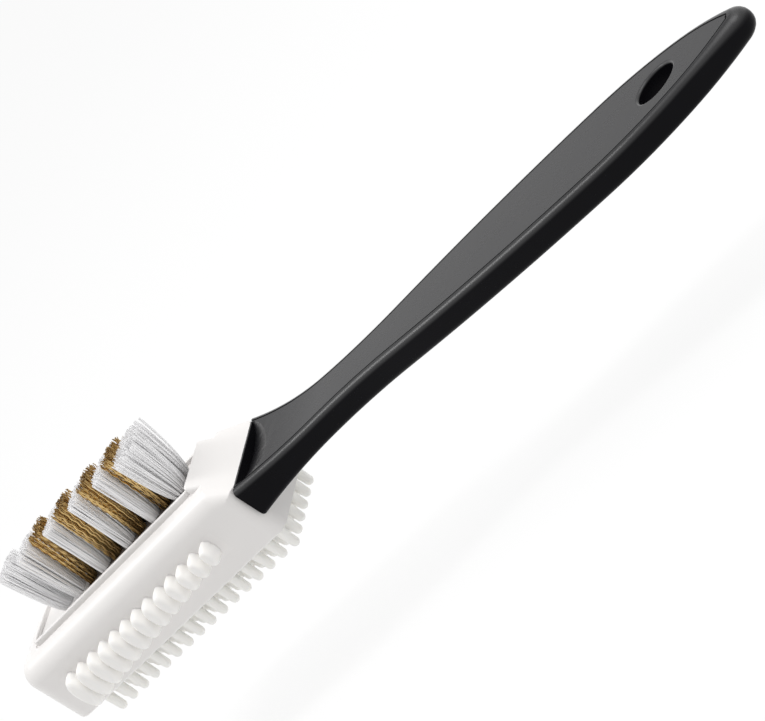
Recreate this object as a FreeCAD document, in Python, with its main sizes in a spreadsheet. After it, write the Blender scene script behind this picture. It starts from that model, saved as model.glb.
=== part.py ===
import FreeCAD, Part
import math
import os

import Sketcher

# A suede brush: a flat paddle handle, a moulded head with brass and nylon tufts on top,
# a row of rubber blades along one side and a rubber comb underneath.
# Every piece is drawn from the collar, where the handle meets the head: x runs towards the
# handle's tip, y across and z up from the underside of the head. The whole brush is then
# moved so that the middle of the hanging hole is the origin.

SIZES = [
    ("handle_length", 164.0, "collar face to the tip of the handle"),
    ("collar_half_width", 14.4, "half the width where handle and head meet"),
    ("collar_top", 13.1, "height of the collar's upper edge"),
    ("collar_bottom", 4.2, "height of the collar's lower edge"),
    ("handle_tilt", 1.5, "droop of the handle from the head in degrees"),
    ("handle_thickness", 6.5, "thickness of the grip"),
    ("waist_from_collar", 36.0, "collar to the narrowest place"),
    ("waist_half_width", 8.5, "half the narrowest width"),
    ("waist_radius", 130.0, "hollow curve of the outline past the waist"),
    ("belly_from_tip", 44.0, "tip to the widest place of the grip"),
    ("belly_half_width", 14.1, "half the widest width"),
    ("tip_radius", 4.5, "rounding of the tip in plan"),
    ("flare_length", 25.0, "stretch over which the top rises to the collar"),
    ("edge_radius", 1.7, "rolled edge round the handle"),
    ("scoop_length", 7.5, "collar to the end of the thumb scoop"),
    ("lip_width", 1.0, "wall left between the scoop and the head"),
    ("scoop_depth", 2.5, "depth of the scoop at the collar"),
    ("scoop_half_width", 11.6, "half the width of the scoop"),
    ("scoop_radius", 110.0, "dish of the scoop across the handle"),
    ("hole_from_tip", 24.9, "tip to the middle of the hanging hole"),
    ("hole_radius", 5.2, "radius of the hanging hole"),
    ("tongue_length", 18.0, "length of the head's tongue in the handle"),
    ("tongue_half_width", 7.0, "half the width of the tongue"),
    ("tongue_bottom", 5.6, "height of the tongue's underside"),
    ("tongue_thickness", 3.0, "thickness of the tongue"),
    ("fit_gap", 0.1, "clearance between pieces that fit together"),
    ("head_length", 89.0, "collar to the free end of the head"),
    ("skirt_depth", 2.1, "head's walls below its underside, round the comb"),
    ("shoulder_radius", 5.2, "rounding of the head's shoulders"),
    ("shoulder_top", 18.0, "height of the shoulders"),
    ("crest_top", 20.7, "height of the crest behind the tufts"),
    ("crest_from_collar", 11.4, "collar to the crest"),
    ("end_radius", 6.0, "upright corners of the free end"),
    ("near_end_radius", 3.5, "upright corners at the collar"),
    ("end_top_radius", 4.0, "upper edge of the free end"),
    ("block_length", 68.4, "length of the bristle block"),
    ("block_half_width", 8.2, "half the width of the bristle block"),
    ("block_bottom", 11.0, "height of the bristle block's underside"),
    ("block_corner", 2.0, "corner rounding of the bristle block"),
    ("rim_top", 19.3, "height of the rim round the tufts"),
    ("rim_width", 1.1, "thickness of the rim"),
    ("rim_height", 1.1, "rim above the floor that the tufts stand in"),
    ("groove_width", 0.7, "open groove round the rim"),
    ("groove_depth", 1.3, "depth of that groove"),
    ("row_margin", 6.5, "block's edge to the first tuft row"),
    ("bare_margin", 13.3, "bare floor from the last tuft row to the block's free end"),
    ("tuft_margin", 6.1, "block's side to the outer tufts"),
    ("hole_depth", 6.0, "depth of a tuft hole"),
    ("tuft_hole_radius", 1.8, "tuft hole from its middle to a corner"),
    ("nylon_tip_radius", 2.35, "spread of a nylon tuft at its tips"),
    ("brass_tip_radius", 2.2, "spread of a brass tuft at its tips"),
    ("tuft_top", 37.5, "height of the tuft tips"),
    ("end_lean", 4.0, "outward lean of the first and last tuft rows at their tips"),
    ("anchor_length", 4.4, "length of a flat wire anchor"),
    ("anchor_thickness", 0.4, "thickness of an anchor"),
    ("anchor_height", 1.8, "height of an anchor"),
    ("strip_length", 66.0, "length of the blade strip's base"),
    ("strip_from_collar", 13.2, "collar to the blade strip"),
    ("strip_bottom", 3.2, "height of the strip's lower edge"),
    ("strip_height", 7.0, "width of the strip up the side"),
    ("strip_root", 2.0, "depth of the strip in the head"),
    ("strip_proud", 0.5, "strip standing out from the side"),
    ("strip_margin", 3.9, "strip's end to the middle of its first blade"),
    ("blade_width", 6.6, "blade from point to point"),
    ("blade_point", 1.1, "length of a blade's pointed end"),
    ("blade_thickness", 2.6, "thickness of a blade at its foot"),
    ("blade_reach", 3.8, "blade standing out from the strip"),
    ("blade_draft", 5.0, "taper of a blade in degrees"),
    ("comb_length", 78.6, "length of the comb's base"),
    ("comb_from_collar", 1.7, "collar to the comb's base"),
    ("comb_half_width", 13.1, "half the width of the comb's base"),
    ("comb_corner", 2.5, "corner rounding of the comb's base"),
    ("comb_root", 2.0, "depth of the comb in the head"),
    ("finger_margin", 2.55, "comb's end to the middle of its first fingers"),
    ("finger_margin_across", 1.975, "comb's side to the middle of its outer fingers"),
    ("finger_radius", 1.45, "radius of a finger at its foot"),
    ("finger_length", 8.5, "length of a finger"),
    ("finger_end_radius", 1.2, "radius of a finger below its rounded tip"),
    ("finger_tip_bevel", 0.7, "bevel round a finger's tip"),
]

# One letter to a tuft row, from the collar to the free end: n is nylon, b is brass.
ROW_ORDER = "nbnbnbnbnn"
TUFTS_ACROSS = 2
BLADES = 13
FINGERS_ALONG = 16
FINGERS_ACROSS = 6

doc = FreeCAD.newDocument("suede_brush")
sheet = doc.addObject("Spreadsheet::Sheet", "sizes")
for line, (alias, number, note) in enumerate(SIZES, 1):
    sheet.set("A%d" % line, note)
    sheet.set("B%d" % line, str(number))
    sheet.setAlias("B%d" % line, alias)
doc.recompute()

# Places that follow from the sizes, as expressions that the pieces share.
COLLAR_RISE = "(sizes.collar_top - sizes.collar_bottom)"
HOLE_ALONG = "(sizes.handle_length - sizes.hole_from_tip)"
HOLE_REACH = "(%s * cos(sizes.handle_tilt))" % HOLE_ALONG
HOLE_DROP = "(%s * sin(sizes.handle_tilt))" % HOLE_ALONG
ORIGIN_X = "-(%s + sizes.handle_thickness / 2 * sin(sizes.handle_tilt))" % HOLE_REACH
HOLE_LIFT = "(sizes.handle_thickness / 2 * cos(sizes.handle_tilt))"
ORIGIN_Z = "-(sizes.collar_bottom - %s + %s)" % (HOLE_DROP, HOLE_LIFT)
FLOOR = "(sizes.rim_top - sizes.rim_height)"
HOLE_BOTTOM = "(%s - sizes.hole_depth)" % FLOOR
BLOCK_START = "(sizes.crest_from_collar + sizes.fit_gap)"
BLOCK_END = "(%s + sizes.block_length)" % BLOCK_START
ROW_PITCH = "((sizes.block_length - sizes.row_margin - sizes.bare_margin) / %d)" % (len(ROW_ORDER) - 1)
TUFT_PITCH = "(2 * (sizes.block_half_width - sizes.tuft_margin) / %d)" % (TUFTS_ACROSS - 1)
STRIP_MIDDLE = "(sizes.strip_bottom + sizes.strip_height / 2)"
BLADE_PITCH = "((sizes.strip_length - 2 * sizes.strip_margin) / %d)" % (BLADES - 1)
FINGER_PITCH = "((sizes.comb_length - 2 * sizes.finger_margin) / %d)" % (FINGERS_ALONG - 1)
FINGER_SPAN = "(2 * (sizes.comb_half_width - sizes.finger_margin_across))"
FINGER_PITCH_ACROSS = "(%s / %d)" % (FINGER_SPAN, FINGERS_ACROSS - 1)
MARGIN = "sizes.collar_half_width"


def value(expression):
    """Number that an expression on the sheet's cells gives."""
    return float(sheet.evalExpression(expression))


def new_body(label):
    """Body of one sub-part, moved so that the hanging hole is at the origin."""
    body = doc.addObject("PartDesign::Body", label)
    body.Label = label
    body.setExpression("Placement.Base.x", ORIGIN_X)
    body.setExpression("Placement.Base.z", ORIGIN_Z)
    return body


def origin_feature(body, role):
    """Plane or axis of a body's own origin."""
    return [item for item in body.Origin.OriginFeatures if item.Role == role][0]


def new_sketch(body, name, plane, offset="0"):
    """Sketch on a plane of the body's origin, moved along the plane's normal."""
    sketch = body.newObject("Sketcher::SketchObject", name)
    sketch.AttachmentSupport = [(origin_feature(body, plane), "")]
    sketch.MapMode = "FlatFace"
    sketch.setExpression("AttachmentOffset.Base.z", offset)
    return sketch


def bind(sketch, constraint, expression):
    """Constraint whose value follows an expression."""
    index = sketch.addConstraint(constraint)
    sketch.setExpression("Constraints[%d]" % index, expression)


def pin_point(sketch, curve, end, x, y):
    """Ties one point of a curve to a place given by two expressions."""
    bind(sketch, Sketcher.Constraint("DistanceX", -1, 1, curve, end, value(x)), x)
    bind(sketch, Sketcher.Constraint("DistanceY", -1, 1, curve, end, value(y)), y)


def arc_between(start, finish, radius, side):
    """Short arc from start to finish; side 1 turns left along the way, -1 turns right."""
    chord = finish - start
    across = FreeCAD.Vector(-chord.y, chord.x, 0).normalize()
    rise = math.sqrt(max(radius ** 2 - (chord.Length / 2) ** 2, 0.0))
    centre = (start + finish) / 2 + across * rise * side
    first, last = (start, finish) if side > 0 else (finish, start)
    angles = [math.atan2(point.y - centre.y, point.x - centre.x) for point in (first, last)]
    circle = Part.Circle(centre, FreeCAD.Vector(0, 0, 1), radius)
    return Part.ArcOfCircle(circle, angles[0], angles[1])


def draw_outline(sketch, corners):
    """Closed outline. Each corner is x, y and, where an arc follows, its radius and side."""
    points = [FreeCAD.Vector(value(corner[0]), value(corner[1]), 0) for corner in corners]
    ends = []
    for number, corner in enumerate(corners):
        start, finish = points[number], points[(number + 1) % len(points)]
        if len(corner) == 2:
            curve = sketch.addGeometry(Part.LineSegment(start, finish), False)
            ends.append((curve, 1, 2))
            continue
        radius, side = corner[2:]
        curve = sketch.addGeometry(arc_between(start, finish, value(radius), side), False)
        ends.append((curve, 1, 2) if side > 0 else (curve, 2, 1))
        bind(sketch, Sketcher.Constraint("Radius", curve, value(radius)), radius)
    for number, (curve, begin, end) in enumerate(ends):
        following, start, _ = ends[(number + 1) % len(ends)]
        sketch.addConstraint(Sketcher.Constraint("Coincident", curve, end, following, start))
        pin_point(sketch, curve, begin, corners[number][0], corners[number][1])


def draw_rectangle(sketch, left, right, low, high):
    draw_outline(sketch, [(left, low), (right, low), (right, high), (left, high)])


def draw_rounded(sketch, left, right, half_width, corner):
    """Rectangle about the x axis with four rounded corners."""
    inner_left, inner_right = "%s + %s" % (left, corner), "%s - %s" % (right, corner)
    inner = "(%s - %s)" % (half_width, corner)
    draw_outline(sketch, [
        (inner_left, "-%s" % half_width),
        (inner_right, "-%s" % half_width, corner, 1),
        (right, "-%s" % inner),
        (right, inner, corner, 1),
        (inner_right, half_width),
        (inner_left, half_width, corner, 1),
        (left, inner),
        (left, "-%s" % inner, corner, 1),
    ])


def draw_circle(sketch, x, y, radius):
    centre = FreeCAD.Vector(value(x), value(y), 0)
    circle = Part.Circle(centre, FreeCAD.Vector(0, 0, 1), value(radius))
    curve = sketch.addGeometry(circle, False)
    pin_point(sketch, curve, 3, x, y)
    bind(sketch, Sketcher.Constraint("Radius", curve, value(radius)), radius)


def draw_octagon(sketch, x, y, radius):
    """Eight-sided outline whose flats lie square to the axes."""
    corners = []
    for number in range(8):
        turn = "%s deg" % (45 * number + 22.5)
        along, aside = "%s * cos(%s)" % (radius, turn), "%s * sin(%s)" % (radius, turn)
        corners.append(("%s + %s" % (x, along), "%s + %s" % (y, aside)))
    draw_outline(sketch, corners)


def extrude(body, kind, name, sketch, length, reverse=False, both_ways=False, draft=None):
    """Pad or pocket of a sketch. A pocket has to take something away."""
    before = body.Shape.Volume if kind == "Pocket" else 0.0
    feature = body.newObject("PartDesign::" + kind, name)
    feature.Profile = sketch
    feature.Reversed = reverse
    if both_ways:
        feature.SideType = "Symmetric"
    feature.setExpression("Length", length)
    if draft:
        feature.setExpression("TaperAngle", draft)
    sketch.Visibility = False
    doc.recompute()
    if kind == "Pocket" and not body.Shape.Volume < before:
        raise RuntimeError("%s of %s cuts nothing" % (name, body.Label))
    return feature


def round_edges(body, name, radius, wanted):
    """Fillet on the edges of the body that the test picks."""
    tip = body.Tip
    names = ["Edge%d" % (n + 1) for n, edge in enumerate(tip.Shape.Edges) if wanted(edge)]
    fillet = body.newObject("PartDesign::Fillet", name)
    fillet.Base = (tip, names)
    fillet.setExpression("Radius", radius)
    doc.recompute()
    return fillet


def repeat(body, name, originals, spacing, count, spacing_across=None, count_across=1):
    """Rows of a feature along x and, where asked, across y."""
    pattern = body.newObject("PartDesign::LinearPattern", name)
    pattern.Originals = originals
    pattern.Direction = (origin_feature(body, "X_Axis"), [""])
    pattern.Mode = "Spacing"
    pattern.setExpression("Offset", spacing)
    pattern.Occurrences = count
    if spacing_across:
        pattern.Direction2 = (origin_feature(body, "Y_Axis"), [""])
        pattern.Mode2 = "Spacing"
        pattern.setExpression("Offset2", spacing_across)
        pattern.Occurrences2 = count_across
        # A spacing of -1 is the common one, for each step across.
        pattern.Spacings2 = [-1.0] * (count_across - 1)
    body.Tip = pattern
    doc.recompute()
    return pattern


def build_handle():
    """Paddle handle, drawn flat and then tilted about the lower edge of the collar."""
    body = new_body("handle")
    body.Placement.Rotation = FreeCAD.Rotation(FreeCAD.Vector(0, 1, 0), value("sizes.handle_tilt"))
    body.setExpression("Placement.Rotation.Angle", "sizes.handle_tilt")
    body.setExpression("Placement.Base.z", "%s + sizes.collar_bottom" % ORIGIN_Z)
    belly = "(sizes.handle_length - sizes.belly_from_tip)"
    waist_run = "(%s - sizes.waist_from_collar)" % belly
    waist_rise = "(sizes.belly_half_width - sizes.waist_half_width)"
    both_radii = "((%s ^ 2 + %s ^ 2) / (2 * %s))" % (waist_run, waist_rise, waist_rise)
    belly_radius = "(%s - sizes.waist_radius)" % both_radii
    share = "(sizes.waist_radius / %s)" % both_radii
    turn_x = "(sizes.waist_from_collar + %s * %s)" % (waist_run, share)
    turn_y = "(sizes.waist_half_width + %s * %s)" % (waist_rise, share)
    neck_rise = "(sizes.collar_half_width - sizes.waist_half_width)"
    neck_radius = "((sizes.waist_from_collar ^ 2 + %s ^ 2) / (2 * %s))" % (neck_rise, neck_rise)
    tip_centre = "(sizes.handle_length - sizes.tip_radius)"
    tip_run = "(sizes.belly_from_tip - sizes.tip_radius)"
    end_radius = "((%s ^ 2 + sizes.belly_half_width ^ 2 - sizes.tip_radius ^ 2)" \
                 " / (2 * (sizes.belly_half_width - sizes.tip_radius)))" % tip_run
    end_share = "(sizes.tip_radius / (%s - sizes.tip_radius))" % end_radius
    meet_x = "(%s + %s * %s)" % (tip_centre, tip_run, end_share)
    meet_y = "((%s - sizes.belly_half_width) * %s)" % (end_radius, end_share)

    # The outline and the top run on past the collar, which is then cut square to the head.
    spare = "-sizes.edge_radius"
    neck_reach = "(sizes.waist_from_collar + sizes.edge_radius)"
    neck_height = "sqrt(%s ^ 2 - %s ^ 2)" % (neck_radius, neck_reach)
    start_y = "(sizes.waist_half_width + %s - %s)" % (neck_radius, neck_height)
    flare_rise = "(%s - sizes.handle_thickness)" % COLLAR_RISE
    flare_radius = "((sizes.flare_length ^ 2 + %s ^ 2) / (2 * %s))" % (flare_rise, flare_rise)
    flare_reach = "(sizes.flare_length + sizes.edge_radius)"
    flare_height = "sqrt(%s ^ 2 - %s ^ 2)" % (flare_radius, flare_reach)
    start_z = "(sizes.handle_thickness + %s - %s)" % (flare_radius, flare_height)
    plan = new_sketch(body, "handle_plan", "XY_Plane")
    draw_outline(plan, [
        (spare, "-" + start_y, neck_radius, -1),
        ("sizes.waist_from_collar", "-sizes.waist_half_width", "sizes.waist_radius", -1),
        (turn_x, "-" + turn_y, belly_radius, 1),
        (belly, "-sizes.belly_half_width", end_radius, 1),
        (meet_x, "-" + meet_y, "sizes.tip_radius", 1),
        (meet_x, meet_y, end_radius, 1),
        (belly, "sizes.belly_half_width", belly_radius, 1),
        (turn_x, turn_y, "sizes.waist_radius", -1),
        ("sizes.waist_from_collar", "sizes.waist_half_width", neck_radius, -1),
        (spare, start_y),
    ])
    extrude(body, "Pad", "handle_blank", plan, start_z)

    over = "(sizes.handle_length + %s)" % MARGIN
    high = "(%s + %s)" % (COLLAR_RISE, MARGIN)
    width = "4 * sizes.collar_half_width"
    above = new_sketch(body, "top_profile", "XZ_Plane")
    draw_outline(above, [
        (spare, start_z, flare_radius, 1),
        ("sizes.flare_length", "sizes.handle_thickness"),
        (over, "sizes.handle_thickness"),
        (over, high),
        (spare, high),
    ])
    extrude(body, "Pocket", "top_cut", above, width, both_ways=True)

    def on_rim(edge):
        return edge.BoundBox.XLength > value("sizes.fit_gap")

    round_edges(body, "rolled_edges", "sizes.edge_radius", on_rim)

    collar = new_sketch(body, "collar_profile", "XZ_Plane")
    draw_outline(collar, [
        (MARGIN + " * tan(sizes.handle_tilt)", "-" + MARGIN),
        ("-%s * tan(sizes.handle_tilt)" % high, high),
        ("-" + MARGIN, high),
        ("-" + MARGIN, "-" + MARGIN),
    ])
    extrude(body, "Pocket", "collar_cut", collar, width, both_ways=True)

    scoop = new_sketch(body, "scoop_profile", "XZ_Plane")
    floor = "(%s - sizes.scoop_depth)" % COLLAR_RISE
    rest = "(sizes.flare_length - sizes.scoop_length)"
    crease = "(sizes.handle_thickness + %s - sqrt(%s ^ 2 - %s ^ 2))" % (flare_radius, flare_radius, rest)
    draw_outline(scoop, [
        ("sizes.lip_width", floor),
        ("sizes.scoop_length", crease),
        ("sizes.scoop_length", high),
        ("sizes.lip_width", high),
    ])
    axis_height = "%s + sizes.scoop_radius" % floor
    left = FreeCAD.Vector(value("sizes.lip_width"), value(axis_height), 0)
    right = FreeCAD.Vector(value("sizes.scoop_length"), value(axis_height), 0)
    axis = scoop.addGeometry(Part.LineSegment(left, right), True)
    pin_point(scoop, axis, 1, "sizes.lip_width", axis_height)
    pin_point(scoop, axis, 2, "sizes.scoop_length", axis_height)
    before = body.Shape.Volume
    gouge = body.newObject("PartDesign::Groove", "thumb_scoop")
    gouge.Profile = scoop
    gouge.ReferenceAxis = (scoop, ["Axis0"])
    gouge.Midplane = True
    gouge.setExpression("Angle", "2 * asin(sizes.scoop_half_width / sizes.scoop_radius)")
    doc.recompute()
    if not body.Shape.Volume < before:
        raise RuntimeError("the thumb scoop cuts nothing")

    hole = new_sketch(body, "hanging_hole_outline", "XY_Plane")
    draw_circle(hole, HOLE_ALONG, "0", "sizes.hole_radius")
    extrude(body, "Pocket", "hanging_hole", hole, COLLAR_RISE, reverse=True)

    socket = new_sketch(body, "socket_outline", "YZ_Plane")
    turn = FreeCAD.Rotation(FreeCAD.Vector(-1, 0, 0), value("sizes.handle_tilt"))
    socket.AttachmentOffset.Rotation = turn
    socket.setExpression("AttachmentOffset.Rotation.Angle", "sizes.handle_tilt")
    lowest = "(sizes.tongue_bottom - sizes.collar_bottom)"
    draw_rectangle(
        socket,
        "-(sizes.tongue_half_width + sizes.fit_gap)",
        "sizes.tongue_half_width + sizes.fit_gap",
        "%s - sizes.fit_gap" % lowest,
        "%s + sizes.tongue_thickness + sizes.fit_gap" % lowest,
    )
    extrude(body, "Pocket", "socket", socket, "sizes.tongue_length + sizes.fit_gap", reverse=True)
    return body


def build_head():
    body = new_body("head")
    side_top = "(sizes.shoulder_top - sizes.shoulder_radius)"
    land = "(sizes.collar_half_width - sizes.shoulder_radius)"
    section = new_sketch(body, "head_section", "YZ_Plane")
    draw_outline(section, [
        ("-sizes.collar_half_width", "-sizes.skirt_depth"),
        ("sizes.collar_half_width", "-sizes.skirt_depth"),
        ("sizes.collar_half_width", side_top, "sizes.shoulder_radius", 1),
        (land, "sizes.shoulder_top"),
        (land, "sizes.crest_top"),
        ("-" + land, "sizes.crest_top"),
        ("-" + land, "sizes.shoulder_top", "sizes.shoulder_radius", 1),
        ("-sizes.collar_half_width", side_top),
    ])
    extrude(body, "Pad", "head_blank", section, "sizes.head_length", reverse=True)

    far_end = "-sizes.head_length"
    over = "-(sizes.head_length + %s)" % MARGIN
    bend = "(sizes.shoulder_top - sizes.end_top_radius)"
    profile = new_sketch(body, "head_profile", "XZ_Plane")
    draw_outline(profile, [
        (over, bend),
        (far_end, bend, "sizes.end_top_radius", -1),
        (far_end + " + sizes.end_top_radius", "sizes.shoulder_top"),
        ("-sizes.crest_from_collar", "sizes.shoulder_top"),
        ("-sizes.crest_from_collar", "sizes.crest_top"),
        ("0", "sizes.collar_top"),
        ("0", "sizes.crest_top + %s" % MARGIN),
        (over, "sizes.crest_top + %s" % MARGIN),
    ])
    extrude(body, "Pocket", "head_cut", profile, "4 * sizes.collar_half_width", both_ways=True)

    corners = new_sketch(body, "end_corner_outlines", "XY_Plane", "-sizes.skirt_depth")
    for sign, turn in (("", -1), ("-", 1)):
        inner = "%s(sizes.collar_half_width - sizes.end_radius)" % sign
        side = "%ssizes.collar_half_width" % sign
        beyond = "%s(2 * sizes.collar_half_width)" % sign
        draw_outline(corners, [
            (far_end, inner, "sizes.end_radius", turn),
            (far_end + " + sizes.end_radius", side),
            (far_end + " + sizes.end_radius", beyond),
            (over, beyond),
            (over, inner),
        ])
        near_inner = "%s(sizes.collar_half_width - sizes.near_end_radius)" % sign
        draw_outline(corners, [
            ("0", near_inner, "sizes.near_end_radius", -turn),
            ("-sizes.near_end_radius", side),
            ("-sizes.near_end_radius", beyond),
            (MARGIN, beyond),
            (MARGIN, near_inner),
        ])
    height = "sizes.crest_top + sizes.skirt_depth"
    extrude(body, "Pocket", "end_corners", corners, height, reverse=True)

    top = "sizes.shoulder_top"
    block_left = "-(%s + sizes.fit_gap)" % BLOCK_END
    block_right = "-sizes.crest_from_collar"
    seat = new_sketch(body, "block_seat_outline", "XY_Plane", top)
    draw_rounded(seat, block_left, block_right,
                 "(sizes.block_half_width + sizes.fit_gap)", "sizes.block_corner")
    extrude(body, "Pocket", "block_seat", seat, "sizes.shoulder_top - sizes.block_bottom")

    groove = new_sketch(body, "groove_outline", "XY_Plane", top)
    draw_rounded(groove, "-(%s + sizes.groove_width)" % BLOCK_END, block_right,
                 "(sizes.block_half_width + sizes.groove_width)", "sizes.block_corner")
    extrude(body, "Pocket", "groove", groove, "sizes.groove_depth")

    comb = new_sketch(body, "comb_seat_outline", "XY_Plane", "-sizes.skirt_depth")
    draw_rounded(comb, "-(sizes.comb_from_collar + sizes.comb_length + sizes.fit_gap)",
                 "-(sizes.comb_from_collar - sizes.fit_gap)",
                 "(sizes.comb_half_width + sizes.fit_gap)", "sizes.comb_corner")
    depth = "sizes.comb_root + sizes.skirt_depth"
    extrude(body, "Pocket", "comb_seat", comb, depth, reverse=True)

    strip = new_sketch(body, "strip_seat_outline", "XZ_Plane", "sizes.collar_half_width")
    draw_rectangle(
        strip,
        "-(sizes.strip_from_collar + sizes.strip_length + sizes.fit_gap)",
        "-(sizes.strip_from_collar - sizes.fit_gap)",
        "sizes.strip_bottom - sizes.fit_gap",
        "sizes.strip_bottom + sizes.strip_height + sizes.fit_gap",
    )
    extrude(body, "Pocket", "strip_seat", strip, "sizes.strip_root")

    tongue = new_sketch(body, "tongue_outline", "YZ_Plane")
    draw_rectangle(
        tongue,
        "-sizes.tongue_half_width",
        "sizes.tongue_half_width",
        "sizes.tongue_bottom",
        "sizes.tongue_bottom + sizes.tongue_thickness",
    )
    extrude(body, "Pad", "tongue", tongue, "sizes.tongue_length")
    return body


def row_place(number):
    """Distance of a tuft row from the collar."""
    return "(%s + sizes.row_margin + %d * %s)" % (BLOCK_START, number, ROW_PITCH)


def tuft_place(number):
    """Place of a tuft across the head, with the row centred."""
    return "(%s * %s)" % (number - (TUFTS_ACROSS - 1) / 2, TUFT_PITCH)


def build_block():
    body = new_body("bristle_block")
    rows = len(ROW_ORDER)
    left, right = "-" + BLOCK_END, "-" + BLOCK_START
    outline = new_sketch(body, "block_outline", "XY_Plane", "sizes.block_bottom")
    draw_rounded(outline, left, right, "sizes.block_half_width", "sizes.block_corner")
    extrude(body, "Pad", "block_blank", outline, "sizes.rim_top - sizes.block_bottom")

    well = new_sketch(body, "well_outline", "XY_Plane", "sizes.rim_top")
    draw_rounded(well, "%s + sizes.rim_width" % left, "%s - sizes.rim_width" % right,
                 "(sizes.block_half_width - sizes.rim_width)", "(sizes.block_corner - sizes.rim_width)")
    extrude(body, "Pocket", "well", well, "sizes.rim_height")

    last_row, first_tuft = "-" + row_place(rows - 1), tuft_place(0)
    hole = new_sketch(body, "tuft_hole_outline", "XY_Plane", FLOOR)
    draw_octagon(hole, last_row, first_tuft, "sizes.tuft_hole_radius")
    drilled = extrude(body, "Pocket", "tuft_hole", hole, "sizes.hole_depth")

    slit = new_sketch(body, "anchor_slit_outline", "XY_Plane", "%s + sizes.anchor_height" % HOLE_BOTTOM)
    draw_rectangle(
        slit,
        "%s - sizes.anchor_length / 2" % last_row,
        "%s + sizes.anchor_length / 2" % last_row,
        "%s - sizes.anchor_thickness / 2" % first_tuft,
        "%s + sizes.anchor_thickness / 2" % first_tuft,
    )
    cut = extrude(body, "Pocket", "anchor_slit", slit, "sizes.anchor_height")
    repeat(body, "tuft_holes", [drilled, cut], ROW_PITCH, rows, TUFT_PITCH, TUFTS_ACROSS)
    return body


def place(item, x, y, z):
    """Place of a loose solid, moved with the rest of the brush."""
    item.setExpression("Placement.Base.x", "%s + %s" % (ORIGIN_X, x))
    item.setExpression("Placement.Base.y", y)
    item.setExpression("Placement.Base.z", "%s + %s" % (ORIGIN_Z, z))


def tapered_prism(stations):
    """Eight-sided solid with flat faces through rings of x, height and radius."""
    rings = []
    for x, height, radius in stations:
        turns = [math.radians(45 * number + 22.5) for number in range(8)]
        ring = [FreeCAD.Vector(x + radius * math.cos(t), radius * math.sin(t), height) for t in turns]
        rings.append(ring + ring[:1])
    faces = [Part.Face(Part.makePolygon(rings[0])), Part.Face(Part.makePolygon(rings[-1]))]
    for low, high in zip(rings, rings[1:]):
        for number in range(8):
            corners = [low[number], low[number + 1], high[number + 1], high[number], low[number]]
            faces.append(Part.Face(Part.makePolygon(corners)))
    solid = Part.Solid(Part.Shell(faces))
    if solid.Volume < 0:
        solid.reverse()
    return solid


def build_tuft(name, row, across, tip_radius, lean):
    """One tuft, folded over its anchor: straight in its hole, spreading towards its tips."""
    x, y = "(-%s)" % row_place(row), tuft_place(across)
    root = value("sizes.tuft_hole_radius - sizes.fit_gap")
    free = value("sizes.tuft_top - %s" % HOLE_BOTTOM)
    bundle = doc.addObject("Part::Feature", name + "_bundle")
    bundle.Shape = tapered_prism([
        (0.0, 0.0, root),
        (0.0, value("sizes.hole_depth"), root),
        (value(lean), free, value(tip_radius)),
    ])
    place(bundle, x, y, HOLE_BOTTOM)

    anchor = doc.addObject("Part::Box", name + "_anchor")
    anchor.setExpression("Length", "sizes.anchor_length")
    anchor.setExpression("Width", "sizes.anchor_thickness")
    anchor.setExpression("Height", "sizes.anchor_height")
    place(anchor, "%s - sizes.anchor_length / 2" % x, "%s - sizes.anchor_thickness / 2" % y, HOLE_BOTTOM)

    tuft = doc.addObject("Part::Cut", name)
    tuft.Base = bundle
    tuft.Tool = anchor
    return tuft, anchor


def group(label, members):
    """Node of several separate solids."""
    node = doc.addObject("Part::Compound", label)
    node.Label = label
    node.Links = members
    return node


def build_tufts():
    """Tuft rows, one node to a row, and the anchors of each kind of tuft."""
    kinds = {"n": ("nylon", "sizes.nylon_tip_radius"), "b": ("brass", "sizes.brass_tip_radius")}
    counts = {"n": 0, "b": 0}
    anchors = {"n": [], "b": []}
    nodes = []
    for row, letter in enumerate(ROW_ORDER):
        kind, tip_radius = kinds[letter]
        counts[letter] += 1
        label = "%s_row_%d" % (kind, counts[letter])
        lean = {0: "sizes.end_lean", len(ROW_ORDER) - 1: "-sizes.end_lean"}.get(row, "0")
        tufts = []
        for across in range(TUFTS_ACROSS):
            tuft, anchor = build_tuft("%s_tuft_%d" % (label, across + 1), row, across, tip_radius, lean)
            tufts.append(tuft)
            anchors[letter].append(anchor)
        nodes.append(group(label, tufts))
    nodes.append(group("nylon_anchors", anchors["n"]))
    nodes.append(group("brass_anchors", anchors["b"]))
    return nodes


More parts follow.
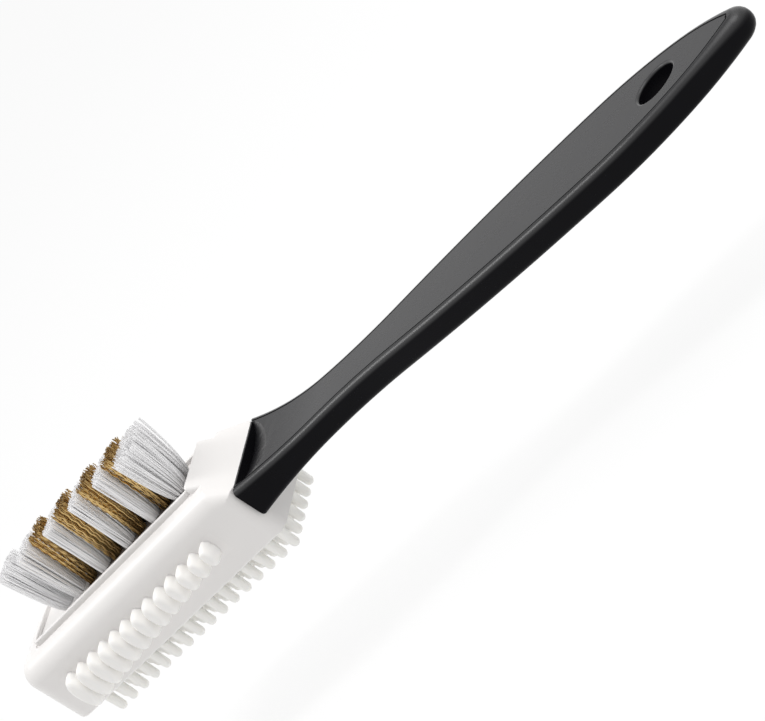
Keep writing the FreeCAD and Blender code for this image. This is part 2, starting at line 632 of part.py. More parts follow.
def build_blade_strip():
    body = new_body("blade_strip")
    left = "-(sizes.strip_from_collar + sizes.strip_length)"
    base = new_sketch(body, "strip_outline", "XZ_Plane", "sizes.collar_half_width - sizes.strip_root")
    draw_rectangle(base, left, "-sizes.strip_from_collar",
                   "sizes.strip_bottom", "sizes.strip_bottom + sizes.strip_height")
    extrude(body, "Pad", "strip_base", base, "sizes.strip_root + sizes.strip_proud")

    middle = "(%s + sizes.strip_margin)" % left
    half, body_half = "(sizes.blade_width / 2)", "(sizes.blade_width / 2 - sizes.blade_point)"
    thick = "(sizes.blade_thickness / 2)"
    blade = new_sketch(body, "blade_outline", "XZ_Plane", "sizes.collar_half_width + sizes.strip_proud")
    draw_outline(blade, [
        (middle, "%s - %s" % (STRIP_MIDDLE, half)),
        ("%s + %s" % (middle, thick), "%s - %s" % (STRIP_MIDDLE, body_half)),
        ("%s + %s" % (middle, thick), "%s + %s" % (STRIP_MIDDLE, body_half)),
        (middle, "%s + %s" % (STRIP_MIDDLE, half)),
        ("%s - %s" % (middle, thick), "%s + %s" % (STRIP_MIDDLE, body_half)),
        ("%s - %s" % (middle, thick), "%s - %s" % (STRIP_MIDDLE, body_half)),
    ])
    fin = extrude(body, "Pad", "blade", blade, "sizes.blade_reach", draft="-sizes.blade_draft")
    repeat(body, "blades", [fin], BLADE_PITCH, BLADES)
    return body


def build_comb():
    """Rubber comb: a base plate with rows of tapered fingers moulded under it."""
    body = new_body("comb_base")
    left = "-(sizes.comb_from_collar + sizes.comb_length)"
    outline = new_sketch(body, "comb_outline", "XY_Plane")
    draw_rounded(outline, left, "-sizes.comb_from_collar", "sizes.comb_half_width", "sizes.comb_corner")
    extrude(body, "Pad", "comb_plate", outline, "sizes.comb_root")

    foot, end = value("sizes.finger_radius"), value("sizes.finger_end_radius")
    length, bevel = value("sizes.finger_length"), value("sizes.finger_tip_bevel")
    finger = tapered_prism([
        (0.0, value("sizes.comb_root") / 2, foot),
        (0.0, 0.0, foot),
        (0.0, bevel - length, end),
        (0.0, -length, end - bevel),
    ])
    along, across = value(FINGER_PITCH), value(FINGER_PITCH_ACROSS)
    copies = []
    for column in range(FINGERS_ALONG):
        for row in range(FINGERS_ACROSS):
            step = FreeCAD.Vector(column * along, (row - (FINGERS_ACROSS - 1) / 2) * across, 0)
            copies.append(finger.translated(step))
    fingers = doc.addObject("Part::Feature", "comb_fingers")
    fingers.Shape = Part.makeCompound(copies)
    place(fingers, "%s + sizes.finger_margin" % left, "0", "0")

    comb = doc.addObject("Part::MultiFuse", "comb_pad")
    comb.Label = "comb_pad"
    comb.Shapes = [body, fingers]
    doc.recompute()
    return comb


def check_document(nodes):
    """Stops before anything is written if an object failed or a shape isn't sound."""
    for item in doc.Objects:
        if "Invalid" in item.State or "Error" in item.State:
            raise RuntimeError("%s failed: %s" % (item.Label, item.State))
    for node in nodes:
        if node.Shape.isNull() or not node.Shape.isValid() or not node.Shape.Solids:
            raise RuntimeError("%s has no sound shape" % node.Label)


def main():
    nodes = [build_handle(), build_head(), build_block()]
    nodes += build_tufts()
    nodes += [build_blade_strip(), build_comb()]
    doc.recompute()
    check_document(nodes)
    os.makedirs("parts", exist_ok=True)
    for node in nodes:
        node.Shape.exportStep(os.path.join("parts", node.Label + ".step"))
        facts = (node.Label, len(node.Shape.Solids), node.Shape.Volume)
        print("%-16s solids %3d  volume %.1f mm3" % facts)


main()
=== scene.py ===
"""Suede brush: finished surfaces, tufts and rubber parts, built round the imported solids."""

import math

import bmesh
import bpy
from bpy.props import FloatProperty, FloatVectorProperty, IntProperty, PointerProperty
from mathutils import Matrix, Vector


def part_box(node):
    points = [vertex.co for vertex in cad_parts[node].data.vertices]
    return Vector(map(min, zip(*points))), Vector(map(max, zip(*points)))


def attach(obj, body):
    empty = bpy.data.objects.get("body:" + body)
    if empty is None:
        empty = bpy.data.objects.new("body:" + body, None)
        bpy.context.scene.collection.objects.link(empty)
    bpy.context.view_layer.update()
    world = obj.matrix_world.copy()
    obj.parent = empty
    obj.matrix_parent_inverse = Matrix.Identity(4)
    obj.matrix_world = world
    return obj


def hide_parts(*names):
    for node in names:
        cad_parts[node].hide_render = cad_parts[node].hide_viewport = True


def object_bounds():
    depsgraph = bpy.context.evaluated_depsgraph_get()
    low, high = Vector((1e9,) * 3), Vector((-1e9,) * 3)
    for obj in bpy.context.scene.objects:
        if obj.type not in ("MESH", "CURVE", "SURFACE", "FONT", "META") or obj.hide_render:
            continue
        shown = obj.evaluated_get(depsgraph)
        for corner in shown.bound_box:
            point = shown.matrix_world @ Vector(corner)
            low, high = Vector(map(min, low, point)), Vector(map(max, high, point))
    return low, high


bl_info = {
    "name": "Suede brush",
    "version": (1, 0, 0),
    "blender": (4, 5, 0),
    "location": "3D View > Sidebar > Brush",
    "description": "Builds a suede brush with brass and nylon tufts, rubber blades and a rubber comb",
    "category": "Object",
}

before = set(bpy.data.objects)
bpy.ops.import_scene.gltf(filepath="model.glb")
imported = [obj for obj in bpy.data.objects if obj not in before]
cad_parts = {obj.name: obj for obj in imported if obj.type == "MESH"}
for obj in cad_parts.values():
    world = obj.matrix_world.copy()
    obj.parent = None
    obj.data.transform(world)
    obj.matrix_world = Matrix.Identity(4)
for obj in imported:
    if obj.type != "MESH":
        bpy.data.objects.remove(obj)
CAD_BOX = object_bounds()
MM = 0.001

# Every piece is drawn from the collar, where handle and head meet: x runs to the handle's tip,
# z up from the head's underside, which lies a little above the lower edge of its walls.
SKIRT = 2.1 * MM
COLLAR = Matrix.Translation((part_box("handle")[0].x, 0.0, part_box("head")[0].z + SKIRT))
FLOOR_LEVEL = CAD_BOX[0].z - 30 * MM
BRASS_ROWS = sorted(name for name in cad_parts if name.startswith("brass_row"))
NYLON_ROWS = sorted(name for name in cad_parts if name.startswith("nylon_row"))
# Place of each kind's rows, counted from the collar.
BRASS_PLACES = (1, 3, 5, 7)
NYLON_PLACES = (0, 2, 4, 6, 8, 9)
# Steps round the curved forms.
CORNER_STEPS = 8
SCOOP_STEPS = 24
HOLE_SIDES = 48
TUFT_HOLE_SIDES = 14
FINGER_SIDES = 12
# Narrow flats beside a rolled edge, and points this close to the axis of a plan lie on it.
FLAT = 0.1 * MM
LEDGE = 0.3 * MM
ON_AXIS = 0.01 * MM
# Clearances of the seats in the head, and the cut into the crest that opens the block's seat.
BLOCK_GAP = 0.02 * MM
RUBBER_GAP = 0.002 * MM
CREST_CUT = 0.05 * MM
BLADE_ROOT = 0.3 * MM
COMB_EDGE = 0.3 * MM
# Rounding of the rim as a share of its width, and the share of a half turn in the scoop's oval.
RIM_ROUNDING = 0.32
SCOOP_SPAN = 0.96
# Edges sharper than this stay crisp in the shading.
SHARP = math.radians(32)
# Share of a filament that its hole holds, and how far a leaning filament ends lower.
HELD = 0.22
LOWERED = 0.7
# Lights, from the middle of the brush in metres, and their width and height.
KEY_PLACE, KEY_SIZE = Vector((0.40, 0.15, 0.70)), (0.5, 0.5)
RIM_PLACE, RIM_SIZE = Vector((-0.36, -0.02, 0.70)), (0.12, 0.5)
FLOOR_REACH = 30.0
FLOOR_SHARE = 0.9


def length(description, millimetres):
    """Length property whose default is given in millimetres."""
    return FloatProperty(description=description, default=millimetres * MM,
                         precision=5, subtype="DISTANCE", unit="LENGTH")


def angle(description, degrees):
    return FloatProperty(description=description, default=math.radians(degrees),
                         subtype="ANGLE", unit="ROTATION")


def share(description, default):
    return FloatProperty(description=description, default=default,
                         min=0.0, max=1.0, subtype="FACTOR")


def count(description, default):
    return IntProperty(description=description, default=default, min=1)


def colour(description, default):
    return FloatVectorProperty(description=description, default=default,
                               size=3, min=0.0, max=1.0, subtype="COLOR")


def power(description, watts):
    return FloatProperty(description=description, default=watts, unit="POWER")


def growth(description, largest):
    return FloatProperty(description=description, default=largest, min=1.0, max=largest)


def labelled(group):
    """Names each setting of a group after its identifier."""
    for key, setting in group.__annotations__.items():
        setting.keywords["name"] = key.replace("_", " ").capitalize()
    return group


@labelled
class HandleSettings(bpy.types.PropertyGroup):
    """Sizes and finish of the paddle handle."""

    reach: length("Collar to the tip", 164.0)
    thickness: length("Thickness of the grip", 6.5)
    droop: angle("Lean of the handle from the head", 1.5)
    seat: length("Height of the collar's lower edge above the head's underside", 4.2)
    collar_half_width: length("Half the width at the collar", 14.38)
    collar_height: length("Height of the collar", 8.9)
    waist_along: length("Collar to the narrowest place", 36.0)
    waist_half_width: length("Half the narrowest width", 8.5)
    waist_radius: length("Hollow curve past the waist", 130.0)
    belly_from_tip: length("Tip to the widest place", 44.0)
    belly_half_width: length("Half the widest width", 14.1)
    tip_radius: length("Rounding of the tip in plan", 4.5)
    flare: length("Stretch over which the top rises to the collar", 25.0)
    edge_radius: length("Rolled edge", 1.6)
    nose_inset: growth("Growth of the edge's width at the tip", 2.2)
    nose_drop: growth("Growth of the edge's height at the tip", 1.9)
    sag: length("Drop of the underside at the collar", 0.8)
    groove_width: length("Fine groove inside the rolled edge", 0.5)
    groove_depth: length("Depth of that groove", 0.42)
    hole_from_tip: length("Tip to the middle of the hanging hole", 24.9)
    hole_radius: length("Radius of the hanging hole", 5.2)
    hole_lip: length("Rounding of the hole's edges", 0.7)
    scoop_length: length("Collar to the end of the thumb scoop", 7.5)
    scoop_lip: length("Wall between the scoop and the head", 0.25)
    scoop_skew: share("Lean of the scoop towards the blades", 0.4)
    scoop_depth: length("Depth of the scoop at the collar", 2.5)
    scoop_half_width: length("Half the width of the scoop", 11.6)
    plastic: colour("Colour of the handle", (0.0032, 0.0031, 0.0040))
    gloss: share("Roughness of the satin surface", 0.3)
    shine: share("Strength of the plastic's reflection", 0.06)
    polish: share("Smooth skin on the faces that look up", 0.36)
    edge_polish: share("Extra shine of the rubbed rolled edge", 0.5)


@labelled
class HeadSettings(bpy.types.PropertyGroup):
    """Sizes and finish of the moulded head and the bristle block in it."""

    reach: length("Collar to the free end", 89.0)
    half_width: length("Half the width of the head", 14.4)
    top: length("Height of the shoulders", 18.0)
    shoulder: length("Rounding of the shoulders", 5.2)
    near_shoulder: length("Rounding of the shoulders at the collar", 2.0)
    end_corner: length("Upright corners of the free end", 6.0)
    near_corner: length("Upright corners at the collar", 3.5)
    lower_edge: length("Rounding of the lower edges", 0.7)
    collar_top: length("Height of the slope at the collar", 13.1)
    crest_along: length("Collar to the crest", 11.4)
    crest_top: length("Height of the crest", 20.7)
    crest_edge: length("Rounding of the crest", 0.9)
    block_reach: length("Length of the bristle block", 68.4)
    block_half_width: length("Half the width of the block", 8.2)
    block_corner: length("Corner rounding of the block", 2.0)
    block_bottom: length("Height of the block's underside", 11.0)
    rim_top: length("Height of the rim round the tufts", 19.3)
    rim_width: length("Thickness of the rim", 1.1)
    well_depth: length("Rim above the floor of the tufts", 1.1)
    moat_width: length("Open groove round the rim", 0.7)
    moat_depth: length("Depth of that groove", 0.25)
    fit: length("Clearance between pieces", 0.1)
    plastic: colour("Colour of the head", (0.81, 0.79, 0.775))
    # Painted shade: this dark colour stands for the shade on the floor deep among the tufts.
    floor: colour("Colour of the floor that the tufts stand in", (0.06, 0.05, 0.042))


@labelled
class TuftSettings(bpy.types.PropertyGroup):
    """Filaments of the brass and nylon tufts."""

    row_margin: length("Block's edge to the first row", 6.5)
    row_pitch: length("Spacing of the rows", 5.4)
    across: count("Tufts in a row", 2)
    pitch: length("Spacing of the tufts in a row", 4.2)
    hole_radius: length("Radius of a tuft hole", 1.75)
    hole_depth: length("Depth of a tuft hole", 6.0)
    top: length("Height of the tips", 37.4)
    trim: length("Unevenness of the trimmed tips", 0.7)
    lean: length("Lean of all tips towards the handle", 2.0)
    far_splay: length("Outward lean of the last row", 4.5)
    nylon_short: length("Brass tips above the nylon tips", 1.0)
    nylon_count: count("Filaments in a nylon tuft", 230)
    nylon_radius: length("Radius of a nylon filament", 0.16)
    nylon_spread: length("Half length of a nylon tuft at its tips", 2.1)
    nylon_width: length("Half width of a nylon tuft at its tips", 3.9)
    first_spread: length("Half length of the first nylon tufts", 5.0)
    first_width: length("Half width of the first nylon tufts", 5.2)
    nylon_wave: length("Bow of a nylon filament", 0.16)
    brass_count: count("Wires in a brass tuft", 80)
    brass_radius: length("Radius of a brass wire", 0.13)
    brass_spread: length("Radius of a brass tuft at its tips", 2.6)
    brass_crimp: length("Height of the crimp in a brass wire", 0.2)
    nylon: colour("Colour of the nylon", (0.975, 0.97, 0.975))
    brass: colour("Colour of bright brass", (0.77, 0.55, 0.24))
    # Painted shade at the roots of the brass uses this colour too.
    bronze: colour("Colour of tarnished brass", (0.20, 0.12, 0.045))


@labelled
class RubberSettings(bpy.types.PropertyGroup):
    """Blade strip and comb."""

    strip_along: length("Collar to the blade strip", 13.2)
    strip_reach: length("Length of the strip's base", 66.0)
    strip_bottom: length("Height of the strip's lower edge", 3.2)
    strip_height: length("Width of the strip up the side", 7.0)
    strip_root: length("Depth of the strip in the head", 2.0)
    blades: count("Number of blades", 13)
    strip_margin: length("Strip's end to the first blade", 3.9)
    blade_top: length("Height of the blades' upper points", 10.0)
    blade_width: length("Blade from point to point", 5.9)
    blade_thickness: length("Thickness of a blade at its foot", 3.3)
    blade_reach: length("Blade standing out from the strip", 4.2)
    blade_growth: share("Growth of the blades towards the free end", 0.9)
    comb_along: length("Collar to the comb's base", 1.7)
    comb_reach: length("Length of the comb's base", 78.6)
    comb_half_width: length("Half the width of the comb's base", 13.1)
    comb_corner: length("Corner rounding of the comb's base", 2.5)
    comb_root: length("Depth of the comb in the head", 2.0)
    fingers_along: count("Fingers along the head", 16)
    fingers_across: count("Fingers across the head", 6)
    finger_margin: length("Comb's end to the first fingers", 2.55)
    finger_margin_across: length("Comb's side to the outer fingers", 1.975)
    finger_radius: length("Radius of a finger at its foot", 1.45)
    finger_tip_radius: length("Radius of a finger above its round tip", 1.2)
    finger_reach: length("Length of a finger", 8.5)
    blade_rubber: colour("Colour of the blades", (0.94, 0.925, 0.90))
    comb_rubber: colour("Colour of the comb", (0.945, 0.935, 0.90))


@labelled
class StageSettings(bpy.types.PropertyGroup):
    """Camera, lights and floor."""

    azimuth: angle("Turn of the camera round the brush", 34.676)
    elevation: angle("Height of the camera", 16.719)
    roll: angle("Turn of the camera about its axis", -55.719)
    distance: length("Camera to the point it aims at", 561.424)
    aim_x: length("Point aimed at, along the brush", -84.769)
    aim_y: length("Point aimed at, across the brush", -14.621)
    aim_z: length("Point aimed at, above the origin", 6.884)
    lens: FloatProperty(description="Focal length in millimetres", default=121.73,
                        subtype="DISTANCE_CAMERA", unit="CAMERA")
    key_light: power("Power of the main soft light", 3.2)
    rim_light: power("Power of the long light above the head's free end", 3.0)
    fill_light: FloatProperty(description="Strength of the light from all round", default=0.57)
    floor: colour("Colour of the floor", (0.92, 0.92, 0.92))


class BrushSettings(bpy.types.PropertyGroup):
    """All settings of the brush."""

    handle: PointerProperty(type=HandleSettings)
    head: PointerProperty(type=HeadSettings)
    tufts: PointerProperty(type=TuftSettings)
    rubber: PointerProperty(type=RubberSettings)
    stage: PointerProperty(type=StageSettings)


class Field:
    """Output of a node. Arithmetic on it adds Math nodes to the same tree."""

    def __init__(self, graph, socket):
        self.graph = graph
        self.socket = socket

    def __add__(self, other):
        return self.graph.maths("ADD", self, other)

    def __sub__(self, other):
        return self.graph.maths("SUBTRACT", self, other)

    def __rsub__(self, other):
        return self.graph.maths("SUBTRACT", other, self)

    def __mul__(self, other):
        return self.graph.maths("MULTIPLY", self, other)

    def __truediv__(self, other):
        return self.graph.maths("DIVIDE", self, other)

    __radd__ = __add__
    __rmul__ = __mul__

    def output(self, name):
        """Another output of the same node."""
        return Field(self.graph, self.socket.node.outputs[name])


class Graph:
    """Node tree of a finish or of a repeated shape."""

    def __init__(self, tree):
        self.tree = tree

    def add(self, kind, settings=None, inputs=None, output=0):
        """Adds a node: its settings first, then its sockets' values or links."""
        node = self.tree.nodes.new(kind)
        for key, value in (settings or {}).items():
            setattr(node, key, value)
        for key, value in (inputs or {}).items():
            if isinstance(value, Field):
                self.tree.links.new(value.socket, node.inputs[key])
            else:
                node.inputs[key].default_value = value
        return Field(self, node.outputs[output]) if node.outputs else node

    def maths(self, operation, *values):
        return self.add("ShaderNodeMath", {"operation": operation}, dict(enumerate(values)))

    def vector(self, operation, *values):
        return self.add("ShaderNodeVectorMath", {"operation": operation}, dict(enumerate(values)))

    def scaled(self, vector, factor):
        return self.add("ShaderNodeVectorMath", {"operation": "SCALE"}, {0: vector, "Scale": factor})

    def combine(self, x, y, z):
        return self.add("ShaderNodeCombineXYZ", None, {0: x, 1: y, 2: z})

    def blend(self, factor, first, second):
        """Mix of two colours."""
        first, second = [tuple(c) + (1.0,) if not isinstance(c, Field) else c for c in (first, second)]
        return self.add("ShaderNodeMix", {"data_type": "RGBA"}, {0: factor, 6: first, 7: second}, 2)


class Finish(Graph):
    """Material of one surface, on object coordinates in metres."""

    def __init__(self, name):
        self.material = bpy.data.materials.new(name)
        self.material.use_nodes = True
        super().__init__(self.material.node_tree)
        self.shader = self.tree.nodes["Principled BSDF"]
        self.place = self.add("ShaderNodeTexCoord", None, None, "Object")

    def noise(self, feature, detail=2.0, stretch=(1.0, 1.0, 1.0)):
        """Noise from 0 to 1 whose patches are about as large as the feature."""
        spot = self.vector("MULTIPLY", self.place, stretch)
        sizes = {"Vector": spot, "Scale": 1.0 / feature, "Detail": detail}
        return self.add("ShaderNodeTexNoise", None, sizes)

    def place_along(self, axis):
        """Place of a point along one axis of the frame."""
        return self.add("ShaderNodeSeparateXYZ", None, {0: self.place}, axis)

    def height(self):
        """Height of a point in the frame."""
        return self.place_along("Z")

    def step(self, value, low, high):
        """Smooth rise from 0 at low to 1 at high."""
        settings = {"interpolation_type": "SMOOTHSTEP"}
        limits = {"Value": value, "From Min": low, "From Max": high}
        return self.add("ShaderNodeMapRange", settings, limits)

    def set(self, socket, value):
        """Links or sets one socket of the shader."""
        if isinstance(value, Field):
            self.tree.links.new(value.socket, self.shader.inputs[socket])
        else:
            self.shader.inputs[socket].default_value = value

    def bump(self, height, depth, strength=1.0):
        settings = {"Height": height, "Distance": depth, "Strength": strength}
        self.set("Normal", self.add("ShaderNodeBump", None, settings))


def satin_black(settings):
    """Fine-grained black moulding, a little smoother where the hand rubs it."""
    finish = Finish("handle_plastic")
    grain = finish.noise(0.35 * MM, 3.0)
    patches = finish.noise(9 * MM, 2.0)
    worn = finish.noise(30 * MM, 1.0, (0.4, 1.0, 1.0))
    tint = [min(1.0, c * 1.7) for c in settings.plastic]
    finish.set("Base Color", finish.blend(patches * 0.6 + grain * 0.2, settings.plastic, tint))
    finish.set("Roughness", settings.gloss + (patches - 0.5) * 0.08 + (grain - 0.5) * 0.06 - worn * 0.06)
    finish.set("Specular IOR Level", settings.shine)
    upward = finish.add("ShaderNodeSeparateXYZ", None, {0: finish.place.output("Normal")}, "Z")
    rolled = finish.step(upward, 0.2, 0.5) * finish.step(upward, 0.99, 0.9)
    level = finish.step(upward, 0.03, 0.35) * settings.polish + rolled * settings.edge_polish
    polish = level * (0.9 + patches * 0.2)
    finish.set("Coat Weight", polish)
    finish.set("Coat Roughness", 0.44)
    finish.bump(grain, 0.012 * MM, 0.6)
    return finish.material


def white_moulding(settings):
    """Warm white plastic with faint flow marks and a fine skin."""
    finish = Finish("head_plastic")
    flow = finish.noise(16 * MM, 2.0, (0.25, 1.0, 1.0))
    skin = finish.noise(0.6 * MM, 2.0)
    shade = [c * 0.955 for c in settings.plastic]
    finish.set("Base Color", finish.blend(flow * 0.7 + skin * 0.2, settings.plastic, shade))
    finish.set("Roughness", 0.36 + (flow - 0.5) * 0.1 + (skin - 0.5) * 0.05)
    finish.bump(skin, 0.01 * MM, 0.5)
    return finish.material


def block_moulding(settings):
    """White rim over a floor darkened by painted shade among the tuft roots."""
    finish = Finish("block_plastic")
    skin = finish.noise(0.6 * MM, 2.0)
    mottle = finish.noise(2.2 * MM, 4.0)
    floor = COLLAR.translation.z + settings.rim_top - settings.well_depth
    level = finish.height() + (mottle - 0.5) * 0.3 * MM
    # The bare end of the block, past the brass tufts, gets no painted shade.
    shade_end = COLLAR.translation.x - settings.crest_along - 0.68 * settings.block_reach
    along = finish.place_along("X") + (mottle - 0.5) * 3.0 * MM
    # Painted shade: the floor below the rim is darkened in a band under the tufts, with a mottled edge
    # and tone.
    painted_shade = 1.0 - finish.step(level, floor + 0.3 * MM, floor + 0.75 * MM)
    painted_shade = painted_shade * finish.step(along, shade_end - 2.0 * MM, shade_end + 2.0 * MM)
    aside = finish.maths("ABSOLUTE", finish.place_along("Y")) + (mottle - 0.5) * MM
    painted_shade = painted_shade * (1.0 - finish.step(aside, 3.6 * MM, 5.2 * MM))
    shade_colour = finish.blend(mottle, settings.floor, [c * 2.2 for c in settings.floor])
    finish.set("Base Color", finish.blend(painted_shade, settings.plastic, shade_colour))
    finish.set("Roughness", 0.38 + painted_shade * 0.3 + (skin - 0.5) * 0.06)
    finish.bump(skin, 0.01 * MM, 0.5)
    return finish.material


def clear_nylon(settings):
    """Milky nylon with a soft sheen, and painted shade that makes it a little darker at its roots."""
    finish = Finish("nylon_bristle")
    streaks = finish.noise(0.5 * MM, 2.0, (1.0, 1.0, 0.08))
    # Painted shade: the filaments are darker low in the tuft, where the others shade them.
    root = COLLAR.translation.z + settings.top - 18.0 * MM
    depth = 1.0 - finish.step(finish.height(), root, root + 7.0 * MM)
    shade = [c * 0.9 for c in settings.nylon]
    finish.set("Base Color", finish.blend(streaks * 0.5 + depth * 0.4, settings.nylon, shade))
    finish.set("Roughness", 0.28 + streaks * 0.14)
    finish.set("Sheen Weight", 0.35)
    finish.set("Sheen Roughness", 0.5)
    return finish.material


def crimped_brass(settings):
    """Drawn brass wire: gold where it is rubbed bright, brown towards its tips and in patches, with
    painted shade that darkens it towards its roots.
    """
    finish = Finish("brass_bristle")
    patches = finish.noise(1.4 * MM, 3.0)
    wires = finish.noise(0.45 * MM, 2.0, (1.0, 1.0, 0.15))
    top = COLLAR.translation.z + settings.top
    # Painted shade darkens the wires towards their roots, deep in the tuft.
    roots = 1.0 - finish.step(finish.height(), top - 18.0 * MM, top - 9.0 * MM)
    tips = finish.step(finish.height(), top - 2.2 * MM, top)
    dark = finish.maths("MINIMUM", roots * 0.75 + tips * 0.5 + patches * 0.35 + wires * 0.25 - 0.15, 1.0)
    finish.set("Base Color", finish.blend(dark, settings.brass, settings.bronze))
    finish.set("Metallic", 1.0)
    finish.set("Roughness", 0.3 + dark * 0.18)
    return finish.material


def soft_rubber(name, tint, feature, wall=None, foot=None):
    """Matt moulded rubber, a little cloudy, with a fine dusty skin and a tint at its foot."""
    finish = Finish(name)
    cloud = finish.noise(feature, 3.0)
    skin = finish.noise(0.4 * MM, 2.0)
    shade = [c * 0.92 for c in tint]
    tone = finish.blend(cloud * 0.8 + skin * 0.2, tint, shade)
    if foot:
        near = finish.step(finish.place_along("Y"), wall - 0.7 * MM, wall - 0.1 * MM)
        tone = finish.blend(near, tone, foot)
    finish.set("Base Color", tone)
    finish.set("Roughness", 0.46 + (cloud - 0.5) * 0.12)
    finish.set("Subsurface Weight", 0.12)
    finish.set("Subsurface Radius", (1.0, 0.95, 0.85))
    finish.set("Subsurface Scale", 0.8 * MM)
    finish.bump(skin, 0.012 * MM, 0.5)
    return finish.material


def anchor_steel():
    """Plain flat steel wire."""
    finish = Finish("anchor_wire")
    drawn = finish.noise(0.3 * MM, 2.0, (0.05, 1.0, 1.0))
    finish.set("Base Color", finish.blend(drawn, (0.56, 0.56, 0.57), (0.42, 0.42, 0.43)))
    finish.set("Metallic", 1.0)
    finish.set("Roughness", 0.3 + drawn * 0.15)
    return finish.material


def arc(centre, radius, start, end, steps, hollow=False):
    """Points along an arc of a plan, each with the plan's outward direction there."""
    points = []
    for step in range(steps + 1):
        turn = start + (end - start) * step / steps
        spoke = Vector((math.cos(turn), math.sin(turn)))
        points.append((centre + spoke * radius, -spoke if hollow else spoke))
    return points


def bearing(start, end):
    """Direction from one plan point to another."""
    return math.atan2(end.y - start.y, end.x - start.x)


def rounded_plan(left, right, half_width, left_corner, right_corner, stops=()):
    """Half of a plan with square sides and rounded corners, from its right end to its left."""
    first = Vector((right - right_corner, half_width - right_corner))
    second = Vector((left + left_corner, half_width - left_corner))
    side = [(Vector((stop, half_width)), Vector((0.0, 1.0))) for stop in stops]
    return (arc(first, right_corner, 0.0, math.pi / 2, CORNER_STEPS) + side
            + arc(second, left_corner, math.pi / 2, math.pi, CORNER_STEPS))


def both_halves(half):
    """Closed plan from a half: along its upper side and back along the lower."""
    back = [(p, n) for p, n in reversed(half) if p.y > ON_AXIS]
    return half + [(Vector((p.x, -p.y)), Vector((n.x, -n.y))) for p, n in back]


def ring_at(plan, inset, height):
    """Ring of points inside a plan; inset and height may depend on the place along the brush."""
    ring = []
    for point, outward in plan:
        spot = point - outward * (inset(point.x) if callable(inset) else inset)
        ring.append(Vector((spot.x, spot.y, height(spot.x) if callable(height) else height)))
    return ring


def rolled_edge(radius, steps=5):
    """Inset and rise along a quarter round, from the flat to the wall."""
    turns = [math.pi / 2 * step / steps for step in range(steps + 1)]
    return [(radius * (1 - math.sin(turn)), radius * (1 - math.cos(turn))) for turn in turns]


def add_object(name, data):
    """New object in the scene."""
    item = bpy.data.objects.new(name, data)
    bpy.context.scene.collection.objects.link(item)
    return item


def add_shape(name, work):
    """Object with the mesh that has been worked out."""
    mesh = bpy.data.meshes.new(name)
    work.to_mesh(mesh)
    work.free()
    return add_object(name, mesh)


def mesh_through(name, rings, place=COLLAR, strips=False):
    """Closed mesh through rings, capped by one face or by strips across a plan's two halves."""
    work = bmesh.new()
    rows = [[work.verts.new(place @ point) for point in ring] for ring in rings]
    total = len(rings[0])
    for low, high in zip(rows, rows[1:]):
        for first in range(total):
            second = (first + 1) % total
            work.faces.new((low[first], low[second], high[second], high[first]))
    for row in (rows[0], rows[-1]):
        if not strips:
            work.faces.new(row)
            continue
        for first in range((total - 1) // 2):
            corners = (row[first], row[first + 1], row[total - 2 - first], row[total - 1 - first])
            work.faces.new(dict.fromkeys(corners))
    bmesh.ops.recalc_face_normals(work, faces=work.faces)
    return add_shape(name, work)


def plan_solid(name, half, section, place=COLLAR):
    """Solid on a plan whose edges follow a section of insets and heights."""
    plan = both_halves(half)
    return mesh_through(name, [ring_at(plan, inset, height) for inset, height in section], place, True)


def prism(name, outline, bottom, top):
    """Upright solid on an outline."""
    return mesh_through(name, [[Vector((x, y, z)) for x, y in outline] for z in (bottom, top)])


def bar(name, low, high):
    """Square bar between two corners, as a tool or a plain insert."""
    outline = [(low[0], low[1]), (high[0], low[1]), (high[0], high[1]), (low[0], high[1])]
    return prism(name, outline, low[2], high[2])


def turned(name, profile, sides, place, middle=0.0):
    """Round solid about an upright axis, from radii and heights."""
    turns = [2 * math.pi * step / sides for step in range(sides)]
    rings = [[Vector((middle + radius * math.cos(turn), radius * math.sin(turn), height))
              for turn in turns] for radius, height in profile]
    return mesh_through(name, rings, place)


def evaluated_mesh(piece):
    """Plain mesh of a piece with its modifiers applied."""
    graph = bpy.context.evaluated_depsgraph_get()
    return bpy.data.meshes.new_from_object(piece.evaluated_get(graph))


def combine(piece, tool, operation):
    """Cuts a tool from a piece, or fuses it on, and removes the tool."""
    cut = piece.modifiers.new("shape", "BOOLEAN")
    cut.operation = operation
    cut.solver = "EXACT"
    cut.object = tool
    mesh = evaluated_mesh(piece)
    if not mesh.polygons:
        raise RuntimeError("%s is lost where it meets %s" % (piece.name, tool.name))
    piece.modifiers.remove(cut)
    piece.data = mesh
    bpy.data.objects.remove(tool)


def present(piece, material, slot, *nodes):
    """Gives a finished piece its shading, finish and place in the frame."""
    mesh = piece.data
    mesh.name = piece.name
    mesh.materials.clear()
    mesh.materials.append(material)
    mesh.polygons.foreach_set("material_index", [0] * len(mesh.polygons))
    mesh.polygons.foreach_set("use_smooth", [True] * len(mesh.polygons))
    mesh.set_sharp_from_angle(angle=SHARP)
    even = piece.modifiers.new("even", "WEIGHTED_NORMAL")
    even.keep_sharp = True
    mesh = evaluated_mesh(piece)
    piece.modifiers.remove(even)
    piece.data = mesh
    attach(piece, "root")
    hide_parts(*nodes)


